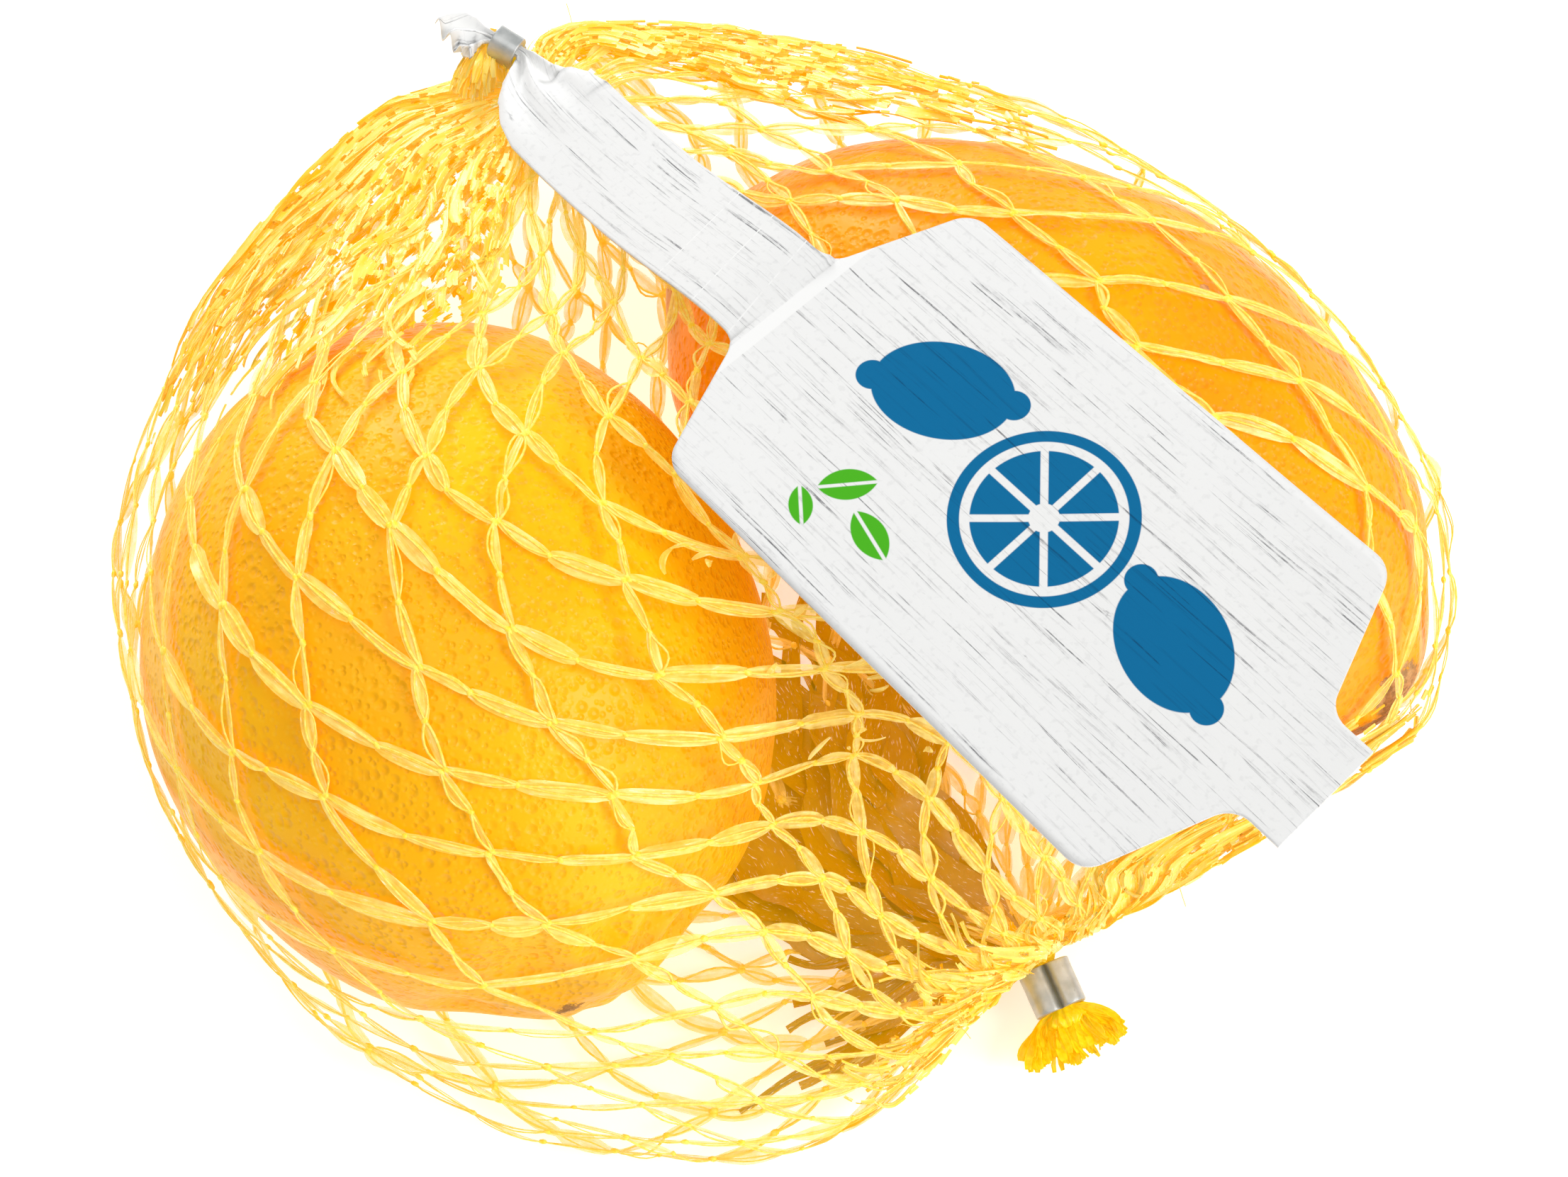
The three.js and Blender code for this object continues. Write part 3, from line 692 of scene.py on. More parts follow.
def make_threads(material):
    """The film's rolled edges: each leaves a knot, bows out beside the film and comes back at the next."""
    p, n, across, t, v, leans = strand_lines()
    count = len(p)
    for number, name in enumerate(("net_threads_a", "net_threads_b")):
        draw = np.random.default_rng(SEED + 3 + number)
        each = column_of(draw, count)
        hand = (1 if number else -1) * np.where(draw.random((count, 1)) < 0.85, 1, -1)
        open_loop = (leans > 0)[:, None] * (draw.random((count, 1)) < 0.5)
        bow = each(0.1, 0.5) * (1 + open_loop * each(0.3, 1.6))
        arc = np.sin(np.pi * t ** each(0.6, 1.6))
        loose = 1 - 0.25 * gathered_depth(v)
        line = p + across * (hand * bow * arc * loose)[..., None]
        line = line + n * (0.1 + each(0, 0.3) * arc)[..., None]
        radius = THREAD_WIDTH / 2 * each(0.7, 1.3) + 0 * t
        points = settle(tubes(line, radius, THREAD_SIDES, n, THREAD_FLAT), 0.15)
        make_piece(name, points, many_grids(count, STRAND_STEPS, THREAD_SIDES, True), material)


KNOT_SIZE = (0.42, 0.30, 0.24)  # half its length, width and height
KNOT_ROWS, KNOT_COLUMNS, KNOT_END = 5, 7, 0.15


def make_knots(material):
    """The tight stitches: a small uneven bead at each crossing and halfway along each side."""
    starts, ends, _ = strand_halves()
    k, j = np.concatenate([starts, ends[1::2]]).T
    p, n = on_net(k, j, NET_DEPTH - 0.05)
    ahead = unit(on_net(k, j + 0.1)[0] - on_net(k, j - 0.1)[0])
    p = settle(p, 0.4, 0.3)
    draw = np.random.default_rng(SEED + 6)
    phi = np.linspace(KNOT_END, np.pi - KNOT_END, KNOT_ROWS)[:, None]
    theta = circle(KNOT_COLUMNS)
    ball = together(np.cos(phi), np.sin(phi) * np.cos(theta), np.sin(phi) * np.sin(theta))
    ball = ball * (KNOT_SIZE * draw.uniform(0.6, 1.25, (len(p), 1, 1, 3)))
    ball = ball * draw.uniform(0.85, 1.15, (len(p), KNOT_ROWS, KNOT_COLUMNS, 1))
    axes = np.stack([ahead, np.cross(n, ahead), n], 1)
    points = settle(p[:, None, None] + np.einsum("prcx,pxy->prcy", ball, axes), 0.1)
    make_piece("net_knots", points, many_grids(len(p), KNOT_ROWS, KNOT_COLUMNS, True), material)


def film_material(name, colour, glow, streak, lit, clear=None):
    """Yellow film, streaked along its length and glinting, with painted glints of near-white; clear gives its
    least and most cover.

    Thin film passes light on to its shaded side, which lit stands for.
    """
    s = Shader(name)
    along, over = s.uv()
    lines = s.streaks(along * 0.22, over * streak, 3.0, 0.55)
    cloud = s.streaks(along * 0.8, over * 0.8, 2.0)
    tint = s.blend(lines.ramp(0.3, 0.7), colour, glow)
    # Painted glints: thin streaks blended towards near-white, standing for highlights.
    painted_glint = s.streaks(along * 0.9, over * 6.0, 2.0).ramp(0.62, 0.70)
    tint = s.blend(painted_glint * 0.6, tint, (1.0, 0.97, 0.78))
    cover = 1.0
    if clear:
        cover = clear[0] + (clear[1] - clear[0]) * (lines * 0.6 + cloud * 0.4).ramp(0.35, 0.62)
    return s.finish(Base_Color=tint, Roughness=0.16 + cloud * 0.2, Alpha=cover,
                    Normal=s.relief(lines, 0.1, 0.5), Specular_IOR_Level=0.6, Emission_Color=tint,
                    Emission_Strength=lit)


def thread_material(name, colour, glow, lit):
    """Film rolled tight into a thread or bunched up: cloudy and less shiny, with a faint glow that is painted
    light.
    """
    s = Shader(name)
    grain = s.noise(s.place(), 1.7, 3.0)
    tint = s.blend(grain.ramp(0.35, 0.65), colour, glow)
    # The faint glow in the film's own colour is painted light, standing for light that passes through it.
    return s.finish(Base_Color=tint, Roughness=0.22 + grain * 0.15, Normal=s.relief(grain, 0.08, 0.6),
                    Specular_IOR_Level=0.35, Emission_Color=tint, Emission_Strength=lit)


# ---- the net's gathers

FILM_STEPS, OPENED_STEPS = 22, 48  # steps along a ribbon, and along one with openings
FAN_COLUMNS, TUFT_STEPS = 9, 9
ZIGZAG = 0.0045  # how far a ribbon swings round the tube, in turns


def make_fan(name, material, path, spread, v_from, v_to, count, widths, depths, seed, fray, openings):
    """Film ribbons that follow the net's surface along a path of (v, u) points, side by side in layers."""
    draw = np.random.default_rng(seed)
    each = column_of(draw, count)
    t = np.linspace(0, 1, OPENED_STEPS if openings else FILM_STEPS)[None, :]
    v = mix(v_from, mix(v_from, v_to, 1 - fray * draw.random((count, 1)) ** 1.5), t)
    path_v, path_u = np.array(sorted(path)).T
    place_over = each(-1, 1)
    wander = 0.10 * np.sin(t * each(3, 9) + each(0, 6))
    u = np.interp(v, path_v, path_u) + spread * (place_over + wander)
    # Neighbours touch and part again, as the sides of drawn-out loops do.
    swing = np.sin(np.pi * v * COURSES * 1.4 + np.pi * draw.integers(0, 2, (count, 1)))
    u = u + ZIGZAG * swing * smooth(0, 0.2, t)
    depth = mix(*depths, draw.random((count, 1)))
    depth = depth + 0.25 * np.sin(t * each(4, 14) + place_over * 9)
    p, n = on_tube(u, v)
    p = settle(p - n * depth[..., None], 0.3, 0.15)
    across = sideways_of(p, n)
    widest = each(*widths)
    taper = smooth(0, 0.12, t) * (0.45 + 0.55 * t ** 0.7) + 0.25
    width = widest * taper * (1 - 0.85 * smooth(0.4, 1, t)) * (1 + 0.22 * np.sin(t * 17 + place_over * 20))
    tilt = draw.normal(0, 0.28, (count, 1)) + 0.25 * np.sin(t * 8 + place_over * 12)
    pleat = each(0.08, 0.26) / (1 + (widest / 4) ** 2)
    make_strips(name, p, tilted(across, n, tilt), n, width, pleat, 3.1, material, draw, 0.15, FAN_COLUMNS,
                openings)


# Paths of (v, u) points down the middle of each gather.
UPPER_FAN = [(0, 0.76), (0.056, 0.735), (0.11, 0.715), (0.167, 0.70), (0.22, 0.70), (0.30, 0.69)]
TOP_BAND = [
    (0, 0.06), (0.046, 0.12), (0.065, 0.20), (0.111, 0.255), (0.176, 0.268), (0.26, 0.272), (0.33, 0.28),
]
LOWER_FAN = [(0.80, 0.60), (0.85, 0.60), (0.90, 0.61), (0.95, 0.60), (1, 0.60)]
LOWER_BAND = [
    (0.70, 0.345), (0.731, 0.36), (0.77, 0.39), (0.806, 0.41), (0.843, 0.435), (0.90, 0.44), (1, 0.42),
]
VALLEY = [(0.55, 1.03), (0.62, 1.03), (0.74, 1.02), (0.83, 1.0), (0.92, 0.98), (1, 0.97)]
POUCH = [(0.75, 0.87), (1, 0.90)]
UPPER_OPENINGS, LOWER_OPENINGS = (UPPER_CLIP, 0.42), (LOWER_CLIP, 0.34)  # the clip and the openings' size
UPPER_GATHERS = [  # name, path, spread, v from, v to, count, widths, depths, seed, share that frays
    ("fan_upper_deep", UPPER_FAN, 0.10, 0.0, 0.25, 34, (2.2, 4.4), (1.3, 2.6), 41, 0.35),
    ("fan_upper_pale", UPPER_FAN, 0.115, 0.0, 0.27, 84, (1.2, 2.8), (-0.1, 1.3), 42, 0.6),
    ("band_top_deep", TOP_BAND, 0.035, 0.02, 0.20, 16, (1.6, 3.0), (0.8, 1.8), 43, 0.35),
    ("band_top_pale", TOP_BAND, 0.045, 0.0, 0.30, 48, (1.2, 2.6), (-0.4, 0.9), 44, 0.6),
]
LOWER_GATHERS = [
    ("fan_lower_deep", LOWER_FAN, 0.17, 1.0, 0.88, 30, (1.8, 3.6), (1.2, 2.4), 45, 0.35),
    ("fan_lower_pale", LOWER_FAN, 0.20, 1.0, 0.84, 80, (1.0, 2.4), (-0.1, 1.2), 46, 0.7),
    ("band_lower_deep", LOWER_BAND, 0.035, 1.0, 0.76, 22, (2.0, 3.8), (0.6, 1.6), 47, 0.35),
    ("band_lower_pale", LOWER_BAND, 0.05, 1.0, 0.71, 60, (1.2, 2.8), (-0.3, 1.0), 48, 0.6),
]
LAYERS = [
    ("layer_valley", VALLEY, 0.062, 0.99, 0.60, 30, (5.0, 9.0), (0.3, 1.6), 49, 0.3),
    ("layer_pouch", POUCH, 0.05, 0.99, 0.82, 9, (2.5, 5.0), (0.3, 1.6), 50, 0.5),
]


def make_gathers(pale, deep, gold_shade):
    """The bunched film by each clip, pale over deep, and the layers seen between the fruit, darkened to a
    dark gold as painted shade.
    """
    for table, openings in ((UPPER_GATHERS, UPPER_OPENINGS), (LOWER_GATHERS, LOWER_OPENINGS), (LAYERS, None)):
        for name, *shape in table:
            material = gold_shade if openings is None else deep if name.endswith("deep") else pale
            make_fan(name, material, *shape, openings)


CLUMP_COUNT, CLUMP_STEPS = 50, 10
CLUMP_PLACES = [0.45, 0.52, 0.58, 0.66]  # along the tube
LABEL_EDGE = [(0.3, 0.49), (0.39, 0.497), (0.455, 0.508), (0.546, 0.532), (0.694, 0.562)]  # as (v, u)


def make_clumps(material):
    """Short crumpled pieces of film bunched along the label's near edge."""
    draw = np.random.default_rng(SEED + 30)
    each = column_of(draw, CLUMP_COUNT)
    t = np.linspace(0, 1, CLUMP_STEPS)[None, :]
    start_v = draw.choice(CLUMP_PLACES, (CLUMP_COUNT, 1)) + draw.normal(0, 0.016, (CLUMP_COUNT, 1))
    start_u = np.interp(start_v, *np.array(LABEL_EDGE).T) + draw.normal(0, 0.010, (CLUMP_COUNT, 1))
    turn = each(0, 2 * np.pi) + t * each(0.2, 0.8)
    size = each(0.006, 0.022)
    p, n = on_tube(start_u + size * np.cos(turn), start_v + 1.6 * size * np.sin(turn))
    p = p - n * (0.5 - each(0, 0.5) * np.sin(np.pi * t))[..., None]
    width = each(0.3, 0.95) * (0.4 + 0.6 * np.sin(np.pi * t))
    make_strips("net_clumps", p, sideways_of(p, n), n, width, 0.05, 2.0, material, draw, 0.15, 5)


def clip_axes(clip):
    """The clip's axis, the level direction across it and the one that stands on both."""
    across = unit(np.cross([0, 0, 1.0], clip["axis"]))
    return clip["axis"], across, np.cross(clip["axis"], across)


THROAT_SIDES = 72
THROAT_BACK = [(3.2, 2.1), (1.8, 1.5), (0.6, 1.05), (0, 0.95)]  # distance before the clip, swell
THROAT_AHEAD = [(0, 0.95), (0.5, 1.1), (1.2, 1.5), (1.9, 0.9)]  # distance past the clip, swell


def make_throat(name, clip, material, radius, flat):
    """The net pressed through a clip: a pleated rope from the gathered cone to the tail."""
    _, sideways, up = clip_axes(clip)
    half = clip["length"] / 2
    stations = [(-half - d, swell) for d, swell in THROAT_BACK]
    stations += [(half + d, swell) for d, swell in THROAT_AHEAD]
    turn = circle(THROAT_SIDES)
    pleat = 1 + 0.16 * np.sin(13 * turn + 1) + 0.10 * np.sin(29 * turn)
    ring = np.cos(turn)[:, None] * sideways + flat * np.sin(turn)[:, None] * up
    rings = []
    for d, swell in stations:
        r = radius * swell * (pleat if abs(d) > half + 0.3 else 1 + 0 * turn)
        rings.append(neck_at(clip, d) + ring * r[:, None])
    uv = together(np.arange(len(stations))[:, None] * 1.0, turn * radius * 1.2)
    faces = grid_faces(len(stations), THROAT_SIDES, True)
    make_piece(name, settle(np.array(rings), 0.1), faces, material, uv=uv)


def make_tuft(name, clip, material, spread, lift, length, least, count, droop, seed):
    """The net's cut end past a clip: crumpled ribbons that fan out and end in a ragged line."""
    draw = np.random.default_rng(seed)
    each = column_of(draw, count)
    axis, sideways, up = clip_axes(clip)
    t = np.linspace(0, 1, TUFT_STEPS)[None, :]
    over = each(-1, 1)
    high = each(-1, 1)
    reach = length * each(least, 1.0) * (1 - 0.18 * np.abs(over))
    d = clip["length"] / 2 - 0.2 + reach * t
    bend = 0.35 * np.sin(t * each(3, 8) + over * 5) * t
    p = neck_at(clip, 0) + d[..., None] * axis
    p = p + ((0.3 + t ** 0.4 * spread) * over + bend)[..., None] * sideways
    p = p + ((0.3 + t ** 0.9 * lift) * high + 0.3 * bend)[..., None] * up
    p = p + (t ** 2)[..., None] * np.array(droop)
    side = sideways_of(p, up)
    top = np.cross(unit(np.gradient(p, axis=1)), side)
    tilt = draw.normal(0, 0.7, (count, 1)) + 0.8 * np.sin(t * 5 + over * 9)
    side = tilted(side, up, tilt)
    width = each(0.55, 1.25) * (0.5 + 0.5 * t) * (1 - 0.45 * smooth(0.8, 1, t))
    make_strips(name, p, side, top, width, 0.12, 2.6, material, draw, 0.1, 6)


FIBRE_SPOTS = [  # where they start, as (u, v), and how many
    (0.66, 0.91, 10), (0.70, 0.885, 12), (0.43, 0.86, 8), (0.76, 0.10, 12), (0.72, 0.05, 8), (0.10, 0.05, 8),
]
FIBRE_STEPS, FIBRE_SIDES, FIBRE_RADIUS = 8, 3, 0.045


def make_fibres(material):
    """A few fine loose fibres that stand off the net near both clips."""
    draw = np.random.default_rng(SEED + 60)
    starts = np.concatenate([np.tile((u, v), (count, 1)) for u, v, count in FIBRE_SPOTS])
    starts = starts + draw.normal(0, 0.012, starts.shape)
    p, n = on_tube(*starts.T)
    count = len(p)
    t = np.linspace(0, 1, FIBRE_STEPS)[None, :, None]
    way = unit(0.8 * n + draw.normal(0, 0.7, p.shape))[:, None]
    curl = draw.normal(0, 0.7, p.shape)[:, None]
    reach = draw.uniform(0.8, 2.4, (count, 1, 1))
    lines = p[:, None] - n[:, None] * 0.6 + way * reach * t + curl * reach * t ** 2 * 0.5
    radius = np.full((count, FIBRE_STEPS), FIBRE_RADIUS)
    points = tubes(settle(lines, 0.1, 0.1), radius, FIBRE_SIDES, n[:, None] + 0.01)
    make_piece("net_fibres", points, many_grids(count, FIBRE_STEPS, FIBRE_SIDES, True), material)


# ---- the label

NECK_STEPS, CURVE_STEPS = 200, 40
CARD_ROWS, CARD_COLUMNS = 150, 49
TWIST_FROM = -0.6  # the card's twist starts this share of its length from its middle


def catmull(points, count):
    """A centripetal curve through points, resampled evenly into count + 1 points."""
    points = np.asarray(points, float)
    points = np.concatenate([[2 * points[0] - points[1]], points, [2 * points[-1] - points[-2]]])
    out = []
    for i in range(len(points) - 3):
        four = points[i:i + 4]
        knots = np.cumsum([0, *np.linalg.norm(np.diff(four, axis=0), axis=-1) ** 0.5])
        t = np.linspace(knots[1], knots[2], CURVE_STEPS)[:, None]
        for spans in (((0, 1), (1, 2), (2, 3)), ((0, 2), (1, 3)), ((1, 2),)):
            shares = [(t - knots[a]) / (knots[b] - knots[a]) for a, b in spans]
            four = [mix(p, q, share) for p, q, share in zip(four, four[1:], shares)]
        out.append(four[0])
    return evenly(np.concatenate(out)[None], count)[0]


def label_outline(neck_length):
    """Distance along, half width and fold height, from the crumpled end to the stub."""
    half, neck, wide = LABEL["length"] / 2, LABEL["neck"] / 2, LABEL["width"] / 2
    shoulder, corner = LABEL["shoulder"], LABEL["corner"]
    lean = math.atan((wide - neck) / shoulder)
    turn = corner * math.tan(lean / 2)
    arc = np.linspace(0, lean, 9)
    side = [(-half - shoulder - turn + corner * math.sin(a), neck + corner * (1 - math.cos(a))) for a in arc]
    side += [(-half + turn - corner * math.sin(a), wide - corner * (1 - math.cos(a))) for a in arc[::-1]]
    end = -half - shoulder - neck_length
    rows = [(end + d, w, fold) for d, w, fold in LABEL_GATHER]
    rows += [(s, neck, 0) for s in np.linspace(end + LABEL_GATHER[-1][0], side[0][0], 10)[1:-1]]
    rows += [(s, w, 0) for s, w in side]
    rows += [(s, wide, 0) for s in (-half / 3, half / 3)]
    rows += [(-s, w, 0) for s, w in side[::-1]]
    rows += [(half + LABEL["stub"], neck, 0)]
    return np.array(rows)


def card_faces(rows, columns):
    """Quads of a front sheet, of a back sheet with the same grid, and of the strips that join their edges."""
    n = rows * columns
    front = grid_faces(rows, columns)
    faces = [front, front[:, ::-1] + n]
    for first, step, count, way in (
        (0, columns, rows - 1, 1), (columns - 1, columns, rows - 1, -1),
        (0, 1, columns - 1, -1), (n - columns, 1, columns - 1, 1),
    ):
        a = first + step * np.arange(count)
        faces.append(np.stack([a, a + step, n + a + step, n + a], -1)[:, ::way])
    return np.concatenate(faces)


def card_neck():
    """The neck's middle line, from inside the clip to the start of the flat part, and its length."""
    body_start = LABEL_AT - LABEL_ALONG * (LABEL["length"] / 2 + LABEL["shoulder"])
    in_clip = UPPER_CLIP["at"] + LABEL_ABOVE
    bends = [in_clip, in_clip - UPPER_CLIP["axis"] * 2, NECK_BEND, NECK_MIDDLE]
    neck = catmull(bends + [body_start - LABEL_ALONG * 4, body_start], NECK_STEPS)
    return neck, np.linalg.norm(np.diff(neck, axis=0), axis=-1).sum()


def card_middle(run, neck, neck_length):
    """The card's middle line at distances from the clip: curled before it, then the neck, then straight."""
    share = np.clip(run / neck_length, 0, 1) * NECK_STEPS
    middle = np.stack([np.interp(share, np.arange(NECK_STEPS + 1), axis) for axis in neck.T], -1)
    middle = middle + np.maximum(run - neck_length, 0)[:, None] * LABEL_ALONG
    curled = np.minimum(run, 0)[:, None]
    return middle - curled * UPPER_CLIP["axis"] + curled ** 2 * LABEL_CURL


def make_label(material):
    """The card: a flat paddle, a neck that gathers into pleats in the clip, and a crumpled end past it."""
    neck, neck_length = card_neck()
    outline = label_outline(neck_length)
    s = np.unique(np.concatenate([outline[:, 0], np.linspace(outline[0, 0], outline[-1, 0], CARD_ROWS)]))
    w, fold = [np.interp(s, outline[:, 0], values)[:, None] for values in outline[:, 1:].T]
    run = s + LABEL["length"] / 2 + LABEL["shoulder"] + neck_length
    middle = card_middle(run, neck, neck_length)
    ahead = unit(np.gradient(middle, axis=0))
    sideways = unit(np.cross(np.cross(LABEL_ALONG, LABEL_ACROSS), ahead))
    up = np.cross(ahead, sideways)
    s, run = s[:, None], run[:, None]
    t = np.linspace(-1, 1, CARD_COLUMNS)[None, :]
    warp = LABEL_TWIST * 2 * s / LABEL["length"] * 2 * w * t / LABEL["width"]
    warp = warp * (s > TWIST_FROM * LABEL["length"])
    waves = 0.10 * ripples(together(s, w * t, 0 * t), 21, 5) * smooth(9, 25, run)
    crumple = bump((run + 5.5) / 2.5) * 0.45 * ripples(together(run, t * 3.0, t * 0), 2.6, 8)
    lift = fold * np.cos(t * np.pi * 2.5) + warp + waves + crumple
    sheets = []
    for face in (1, -1):
        raised = up[:, None] * (lift + face * LABEL["thick"] / 2)[..., None]
        sheets.append(middle[:, None] + sideways[:, None] * (w * t)[..., None] + raised)
    uv = np.tile(together(s, w * t), (2, 1, 1))
    masks = {
        "front": np.repeat([1, 0], len(s) * CARD_COLUMNS),
        "gathered": np.tile(smooth(14, 5, run) + 0 * t, (2, 1)),
    }
    make_piece("label_card", sheets, card_faces(len(s), CARD_COLUMNS), material, "label", uv, masks)


WHITE, BARE_WHITE = (0.79, 0.79, 0.78), (0.84, 0.84, 0.83)
PRINT_GREY, PRINT_DARK = (0.42, 0.42, 0.42), (0.14, 0.14, 0.15)
BLUE, BLUE_IN_GRAIN, GREEN = (0.0, 0.135, 0.31), (0.0, 0.06, 0.15), (0.065, 0.42, 0.012)
BAND_BACK = 4.2  # from the square part of the card up to the bare white band
CREASES = (-44.0, -38.5, -33.5)
SLICE_AT, SLICE_RADIUS, RIND, FLESH, HUB, SEGMENTS = (1.0, 1.5), 8.6, 7.5, 6.6, 1.4, 8
FRUIT_LONG, FRUIT_WIDE, FRUIT_TIP = 6.6, 4.9, 1.5
PRINTED_FRUIT = [(-14.5, 4.0, 0.55), (17.5, 1.0, -0.35)]  # along, over, lean
PRINTED_LEAVES = [(-13.6, -8.6, 0.9, 3.6), (-8.6, -10.6, -0.25, 3.6), (-15.0, -13.0, -0.7, 2.6)]  # and length


def turned(along, over, x, y, lean):
    """Lengths along and across something printed at x, y that leans by that angle."""
    c, d = math.cos(lean), math.sin(lean)
    return (along - x) * c + (over - y) * d, (over - y) * c - (along - x) * d


def inked(distance):
    """1 where the distance to a printed edge is negative, 0 outside."""
    return distance.ramp(0.06, -0.06)


def printed_fruit(along, over, x, y, lean):
    """A whole fruit: an oval with a point at each end."""
    a, b = turned(along, over, x, y, lean)
    oval = ((a / FRUIT_LONG) ** 2 + (b / FRUIT_WIDE) ** 2).root() - 1
    tip = ((abs(a) - FRUIT_LONG) ** 2 + b ** 2).root() - FRUIT_TIP
    return inked((oval * FRUIT_WIDE).at_most(tip))


def printed_leaf(along, over, x, y, lean, long):
    """A leaf between two arcs, with its midrib left bare."""
    a, b = turned(along, over, x, y, lean)
    reach = 0.9 * long
    arcs = (a ** 2 + (abs(b) + reach - 0.42 * long) ** 2).root() - reach
    return inked(arcs.at_least(0.16 - abs(b)))


def printed_slice(along, over):
    """A cut slice: a ring of rind round its segments."""
    x, y = along - SLICE_AT[0], over - SLICE_AT[1]
    r = (x ** 2 + y ** 2).root()
    spoke = abs((y.angle_from(x) * (SEGMENTS / 2 / math.pi)).part() - 0.5)
    gap = (0.5 - spoke) * r * (2 * math.pi / SEGMENTS)
    flesh = inked(r - FLESH) * inked(HUB - r) * gap.ramp(0.30, 0.42)
    return flesh.at_least(inked(r - SLICE_RADIUS) * inked(RIND - r))


def label_material():
    """Whitewashed planks printed in grey, a bare band at the neck, and fruit in blue with green leaves."""
    s = Shader("label_print")
    along, over = s.uv()
    line = over + (s.streaks(along * 0.03, over * 0.2, 2.0) - 0.5) * 1.4
    broad = s.streaks(along * 0.035, line * 2.2, 5.0, 0.7)
    broken = s.streaks(along * 0.16, line * 1.2)
    grain = broad.ramp(0.53, 0.64) * broken.ramp(0.38, 0.60)
    thin = s.streaks(along * 0.030, line * 3.4, 3.0, 0.6).ramp(0.58, 0.66)
    fibres = s.streaks(along * 1.5, over * 1.5, 2.0)
    speckle = s.streaks(along * 1.1, over * 3.2, 3.0, 0.7)
    colour = s.blend(grain * (0.35 + speckle.ramp(0.4, 0.6) * 0.5), WHITE, PRINT_GREY)
    line_ink = thin * broken.ramp(0.42, 0.56) * (0.3 + speckle.ramp(0.35, 0.55) * 0.6)
    colour = s.blend(line_ink, colour, PRINT_DARK)
    smudge = s.streaks(along * 0.12, over * 0.3, 4.0, 0.7).ramp(0.64, 0.74)
    colour = s.blend(smudge * speckle.ramp(0.45, 0.6) * 0.55, colour, PRINT_DARK)
    colour = s.blend(fibres.ramp(0.55, 0.7) * 0.14, colour, PRINT_GREY)
    band = abs(along + (LABEL["length"] / 2 + BAND_BACK)).ramp(0.75, 0.60)
    for crease in CREASES:
        band = band.at_least(abs(along + over * 0.15 - crease).ramp(0.10, 0.04) * broken.ramp(0.4, 0.5))
    colour = s.blend(band, colour, BARE_WHITE)
    fruit = printed_slice(along, over)
    for spot in PRINTED_FRUIT:
        fruit = fruit.at_least(printed_fruit(along, over, *spot))
    leaves = printed_leaf(along, over, *PRINTED_LEAVES[0])
    for spot in PRINTED_LEAVES[1:]:
        leaves = leaves.at_least(printed_leaf(along, over, *spot))
    blue = s.blend((line_ink + grain * 0.35).at_most(0.75), BLUE, BLUE_IN_GRAIN)
    colour = s.blend(fruit * s.mask("front"), colour, blue)
    colour = s.blend(leaves * s.mask("front"), colour, GREEN)
    # The gathered end is thin enough to let light through its folds; its glow there, in its own colour, is
    # painted light that lifts the shade in the folds.
    return s.finish(Base_Color=colour, Roughness=0.42 + fibres * 0.12, Specular_IOR_Level=0.1,
                    Normal=s.relief(fibres, 0.03, 0.5), Emission_Strength=0.14,
                    Emission_Color=s.blend(s.mask("gathered"), (0, 0, 0), colour))


# ---- the clips

CLIP_SIDES, CLIP_EDGE, BAND_RINGS, EDGE_RINGS = 96, 0.16, 13, 4


def make_clip(name, clip, node, material):
    """A crimped band: two curled lobes with a cleft between them, with rounded edges and press marks."""
    axis = clip["axis"]
    cleft = np.array(clip["cleft"], float)
    up = unit(cleft - axis * (cleft @ axis))
    turn = circle(CLIP_SIDES)
    off = np.abs(turn - np.pi / 2)
    wall = clip["wall"] * (1 + 0.7 * bump((off - 0.75) / 0.5) - 0.98 * bump(off / 0.13))
    half, edge = clip["length"] / 2, CLIP_EDGE
    # The section's profile as (distance, share of the wall): outside, over one rim, inside, the other rim.
    rim = [(half - edge + edge * math.sin(a), 1 - 0.3 * (1 - math.cos(a)))
           for a in np.linspace(0.3, np.pi / 2, EDGE_RINGS)] + [(half - 0.02, 0.05), (half - 0.4, 0.0)]
    profile = [(d, 1.0) for d in np.linspace(-half + edge, half - edge, BAND_RINGS)]
    profile += rim + [(-d, share) for d, share in rim[::-1]]
    d, share = np.array(profile).T[..., None]
    dent = 0.04 * ripples(together(d, 3 * np.cos(turn), 3 * np.sin(turn)), 2.2, 3)
    thick = wall * share + dent * (share > 0.9)
    x = (clip["bore"][0] + thick) * np.cos(turn)
    y = (clip["bore"][1] + thick) * np.sin(turn)
    points = clip["at"] + x[..., None] * np.cross(up, axis) + y[..., None] * up + d[..., None] * axis
    rows = len(d)
    last = grid_faces(2, CLIP_SIDES, True)
    last = np.where(last >= CLIP_SIDES, last - CLIP_SIDES, last + (rows - 1) * CLIP_SIDES)
    faces = np.concatenate([grid_faces(rows, CLIP_SIDES, True), last])
    # The cleft between the lobes, darkened in the metal as painted shade.
    masks = {"cleft_shade": bump(off / 0.10) * (share > 0.5)}
    make_piece(name, points, faces, material, node, masks=masks)


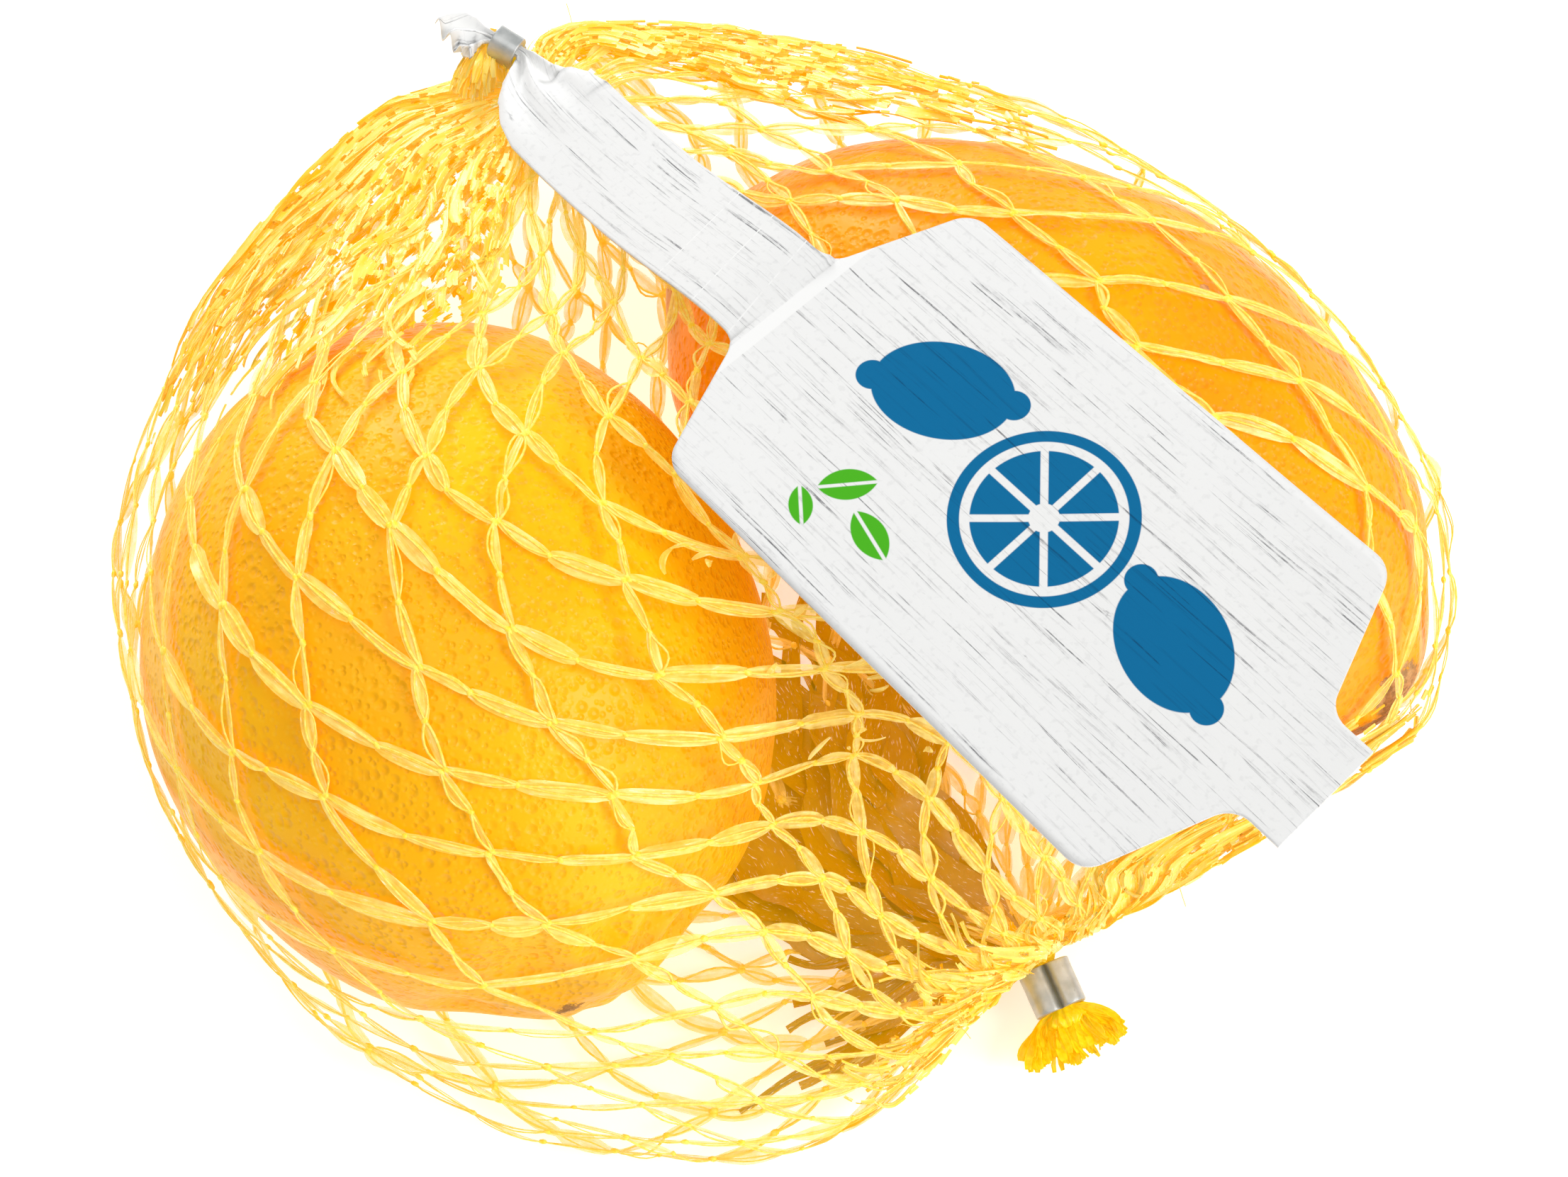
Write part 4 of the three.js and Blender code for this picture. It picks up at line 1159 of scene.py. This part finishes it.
def clip_material():
    """Bare rolled aluminium with fine scratches along the band, and painted shade that darkens and dulls the
    cleft between its lobes.
    """
    s = Shader("clip_metal")
    p = s.place()
    scratch = s.noise(s.stretched(p, (2.0, 2.0, 9.0)), 1.0, 5.0, 0.7)
    cloud = s.noise(p, 0.7, 3.0)
    colour = s.blend(cloud.ramp(0.3, 0.7), (0.46, 0.48, 0.47), (0.60, 0.61, 0.60))
    colour = s.blend(scratch.ramp(0.62, 0.72) * 0.5, colour, (0.25, 0.26, 0.26))
    cleft_shade = s.mask("cleft_shade")
    # Painted shade: the cleft is darkened and dulled.
    colour = s.blend(cleft_shade * 0.9, colour, (0.10, 0.09, 0.03))
    return s.finish(Base_Color=colour, Metallic=0.75 - cleft_shade * 0.5, Roughness=0.36 + cloud * 0.18,
                    Normal=s.relief(scratch, 0.03, 0.6))


# ---- the pieces

YELLOW_LIGHT, YELLOW_DEEP = (1.0, 0.55, 0.004), (0.97, 0.44, 0.001)
ORANGE_LIGHT, ORANGE_DEEP = (0.99, 0.41, 0.0), (0.96, 0.32, 0.0)
CORK = (0.36, 0.19, 0.08)

round_peel = peel_material(  # scars have a place, a radius and a colour; tones, some of them painted shade, have a strength too
    "peel_yellow", YELLOW_LIGHT, YELLOW_DEEP,
    scars=[((-20.8, -40.2, 31.5), 2.5, (0.20, 0.10, 0.03))],
    tones_and_painted_shade=[
        ((-20.5, -41.0, 33), 8.5, (0.74, 0.34, 0.008), 0.7),
        # Painted shade: the lower left flank, which faces away from the lamps.
        ((-58.0, -26.0, 28), 24.0, (0.90, 0.38, 0.004), 0.6),
    ],
)
slim_peel = peel_material(
    "peel_orange", ORANGE_LIGHT, ORANGE_DEEP,
    scars=[
        ((58.8, -11.0, 31.0), 3.4, CORK),
        ((57.0, -14.4, 27.6), 2.8, CORK),
        ((39.2, 23.2, 49.6), 0.6, CORK),
    ],
    tones_and_painted_shade=[
        # The stem end: browner in its own right, and darker still as painted shade under the label's neck.
        ((-12.5, 30.0, 30), 9.0, (0.42, 0.20, 0.01), 0.75),
        ((59.0, -12.0, 28), 9.0, (0.80, 0.30, 0.005), 0.5),
    ],
)
make_lemon("lemon_round", round_peel, 11, (1.7, 0.6))
make_lemon("lemon_slim", slim_peel, 17, (0.7, 0.6))

film = film_material("net_film", (0.96, 0.67, 0.085), (0.97, 0.76, 0.21), 2.0, 0.24, (0.42, 0.85))
pale_film = film_material("fan_film", (0.99, 0.60, 0.02), (0.99, 0.745, 0.14), 1.3, 0.21)
deep_film = film_material("fan_film_deep", (1.0, 0.53, 0.002), (1.0, 0.63, 0.012), 1.3, 0.25)
# The layers between the fruit: film darkened to a dark gold as painted shade, lifted by a painted glow.
gold_shade_film = film_material("layer_film_shaded", (0.48, 0.275, 0.0), (0.53, 0.32, 0.001), 0.4, 0.3)
thread = thread_material("net_thread", (0.97, 0.65, 0.06), (0.98, 0.76, 0.17), 0.19)
knot = thread_material("net_knot", (0.98, 0.68, 0.035), (0.98, 0.77, 0.12), 0.19)
tail_film = thread_material("tail_film", (1.0, 0.60, 0.002), (1.0, 0.70, 0.01), 0.23)
make_tapes(film)
make_threads(thread)
make_knots(knot)
make_gathers(pale_film, deep_film, gold_shade_film)
make_clumps(film)
make_throat("throat_upper", UPPER_CLIP, tail_film, 0.62, 1.0)
make_throat("throat_lower", LOWER_CLIP, tail_film, 1.35, 0.85)
make_tuft("tail_upper", UPPER_CLIP, pale_film, 2.4, 1.4, 6.0, 0.15, 110, (0.9, -4.6, -1.0), 61)
make_tuft("tail_lower", LOWER_CLIP, tail_film, 5.2, 1.5, 6.2, 0.62, 150, (0, 0, 0.2), 62)
make_fibres(thread)
make_label(label_material())
metal = clip_material()
make_clip("crimp_upper", UPPER_CLIP, "clip_upper", metal)
make_clip("crimp_lower", LOWER_CLIP, "clip_lower", metal)

# ---- floor, light and camera


def make_floor():
    """A plain pale floor that runs out of sight."""
    material = Shader("floor").finish(Base_Color=(0.93, 0.93, 0.92), Roughness=0.6, Specular_IOR_Level=0.2,
                                      Emission_Color=(1, 1, 1), Emission_Strength=0.40)
    mesh = bpy.data.meshes.new("floor")
    mesh.from_pydata([(-3, -3, 0), (3, -3, 0), (3, 3, 0), (-3, 3, 0)], [], [(0, 1, 2, 3)])
    mesh.materials.append(material)
    add_object("floor", mesh)


def make_light(name, way, distance, size, power):
    """A square soft light that faces the fruit from that direction."""
    data = bpy.data.lights.new(name, "AREA")
    data.shape = "SQUARE"
    data.size = size
    data.energy = power
    middle = np.array([0, 0, 0.03])
    at = middle + unit(way) * distance
    light = add_object(name, data)
    light.location = at
    light.rotation_euler = Vector(middle - at).to_track_quat("-Z", "Y").to_euler()


def make_world(strength):
    """Even white light from all round."""
    world = bpy.data.worlds.new("studio")
    world.use_nodes = True
    background = world.node_tree.nodes["Background"].inputs
    background["Color"].default_value = (1, 1, 1, 1)
    background["Strength"].default_value = strength
    bpy.context.scene.world = world


ELEVATION, DISTANCE = math.radians(75), 350.0
LENS, SENSOR = 82.6, 36
TARGET = np.array([0, 0, 28.0])
LIGHTS = [  # name, direction, distance and size in m, power
    ("back_softbox", (-0.30, 0.94, 0.30), 0.9, 0.38, 3.7),
    ("right_softbox", (0.73, -0.23, 0.70), 0.9, 0.36, 3.6),
    ("top_softbox", (-0.2, 0.1, 1), 1.2, 0.9, 3.2),
    ("front_softbox", (0.75, -0.65, 0.35), 1.0, 0.7, 1.7),
]


def make_camera():
    data = bpy.data.cameras.new("camera")
    data.lens = LENS
    data.sensor_width = SENSOR
    data.clip_start = 0.01
    camera = add_object("camera", data)
    back = DISTANCE * np.array([0, -math.cos(ELEVATION), math.sin(ELEVATION)])
    camera.location = (TARGET - ORIGIN + back) * MM
    camera.rotation_euler = (math.pi / 2 - ELEVATION, 0, 0)
    bpy.context.scene.camera = camera


make_floor()
make_world(0.46)
for light in LIGHTS:
    make_light(*light)
make_camera()
bpy.context.scene.view_settings.view_transform = "Standard"
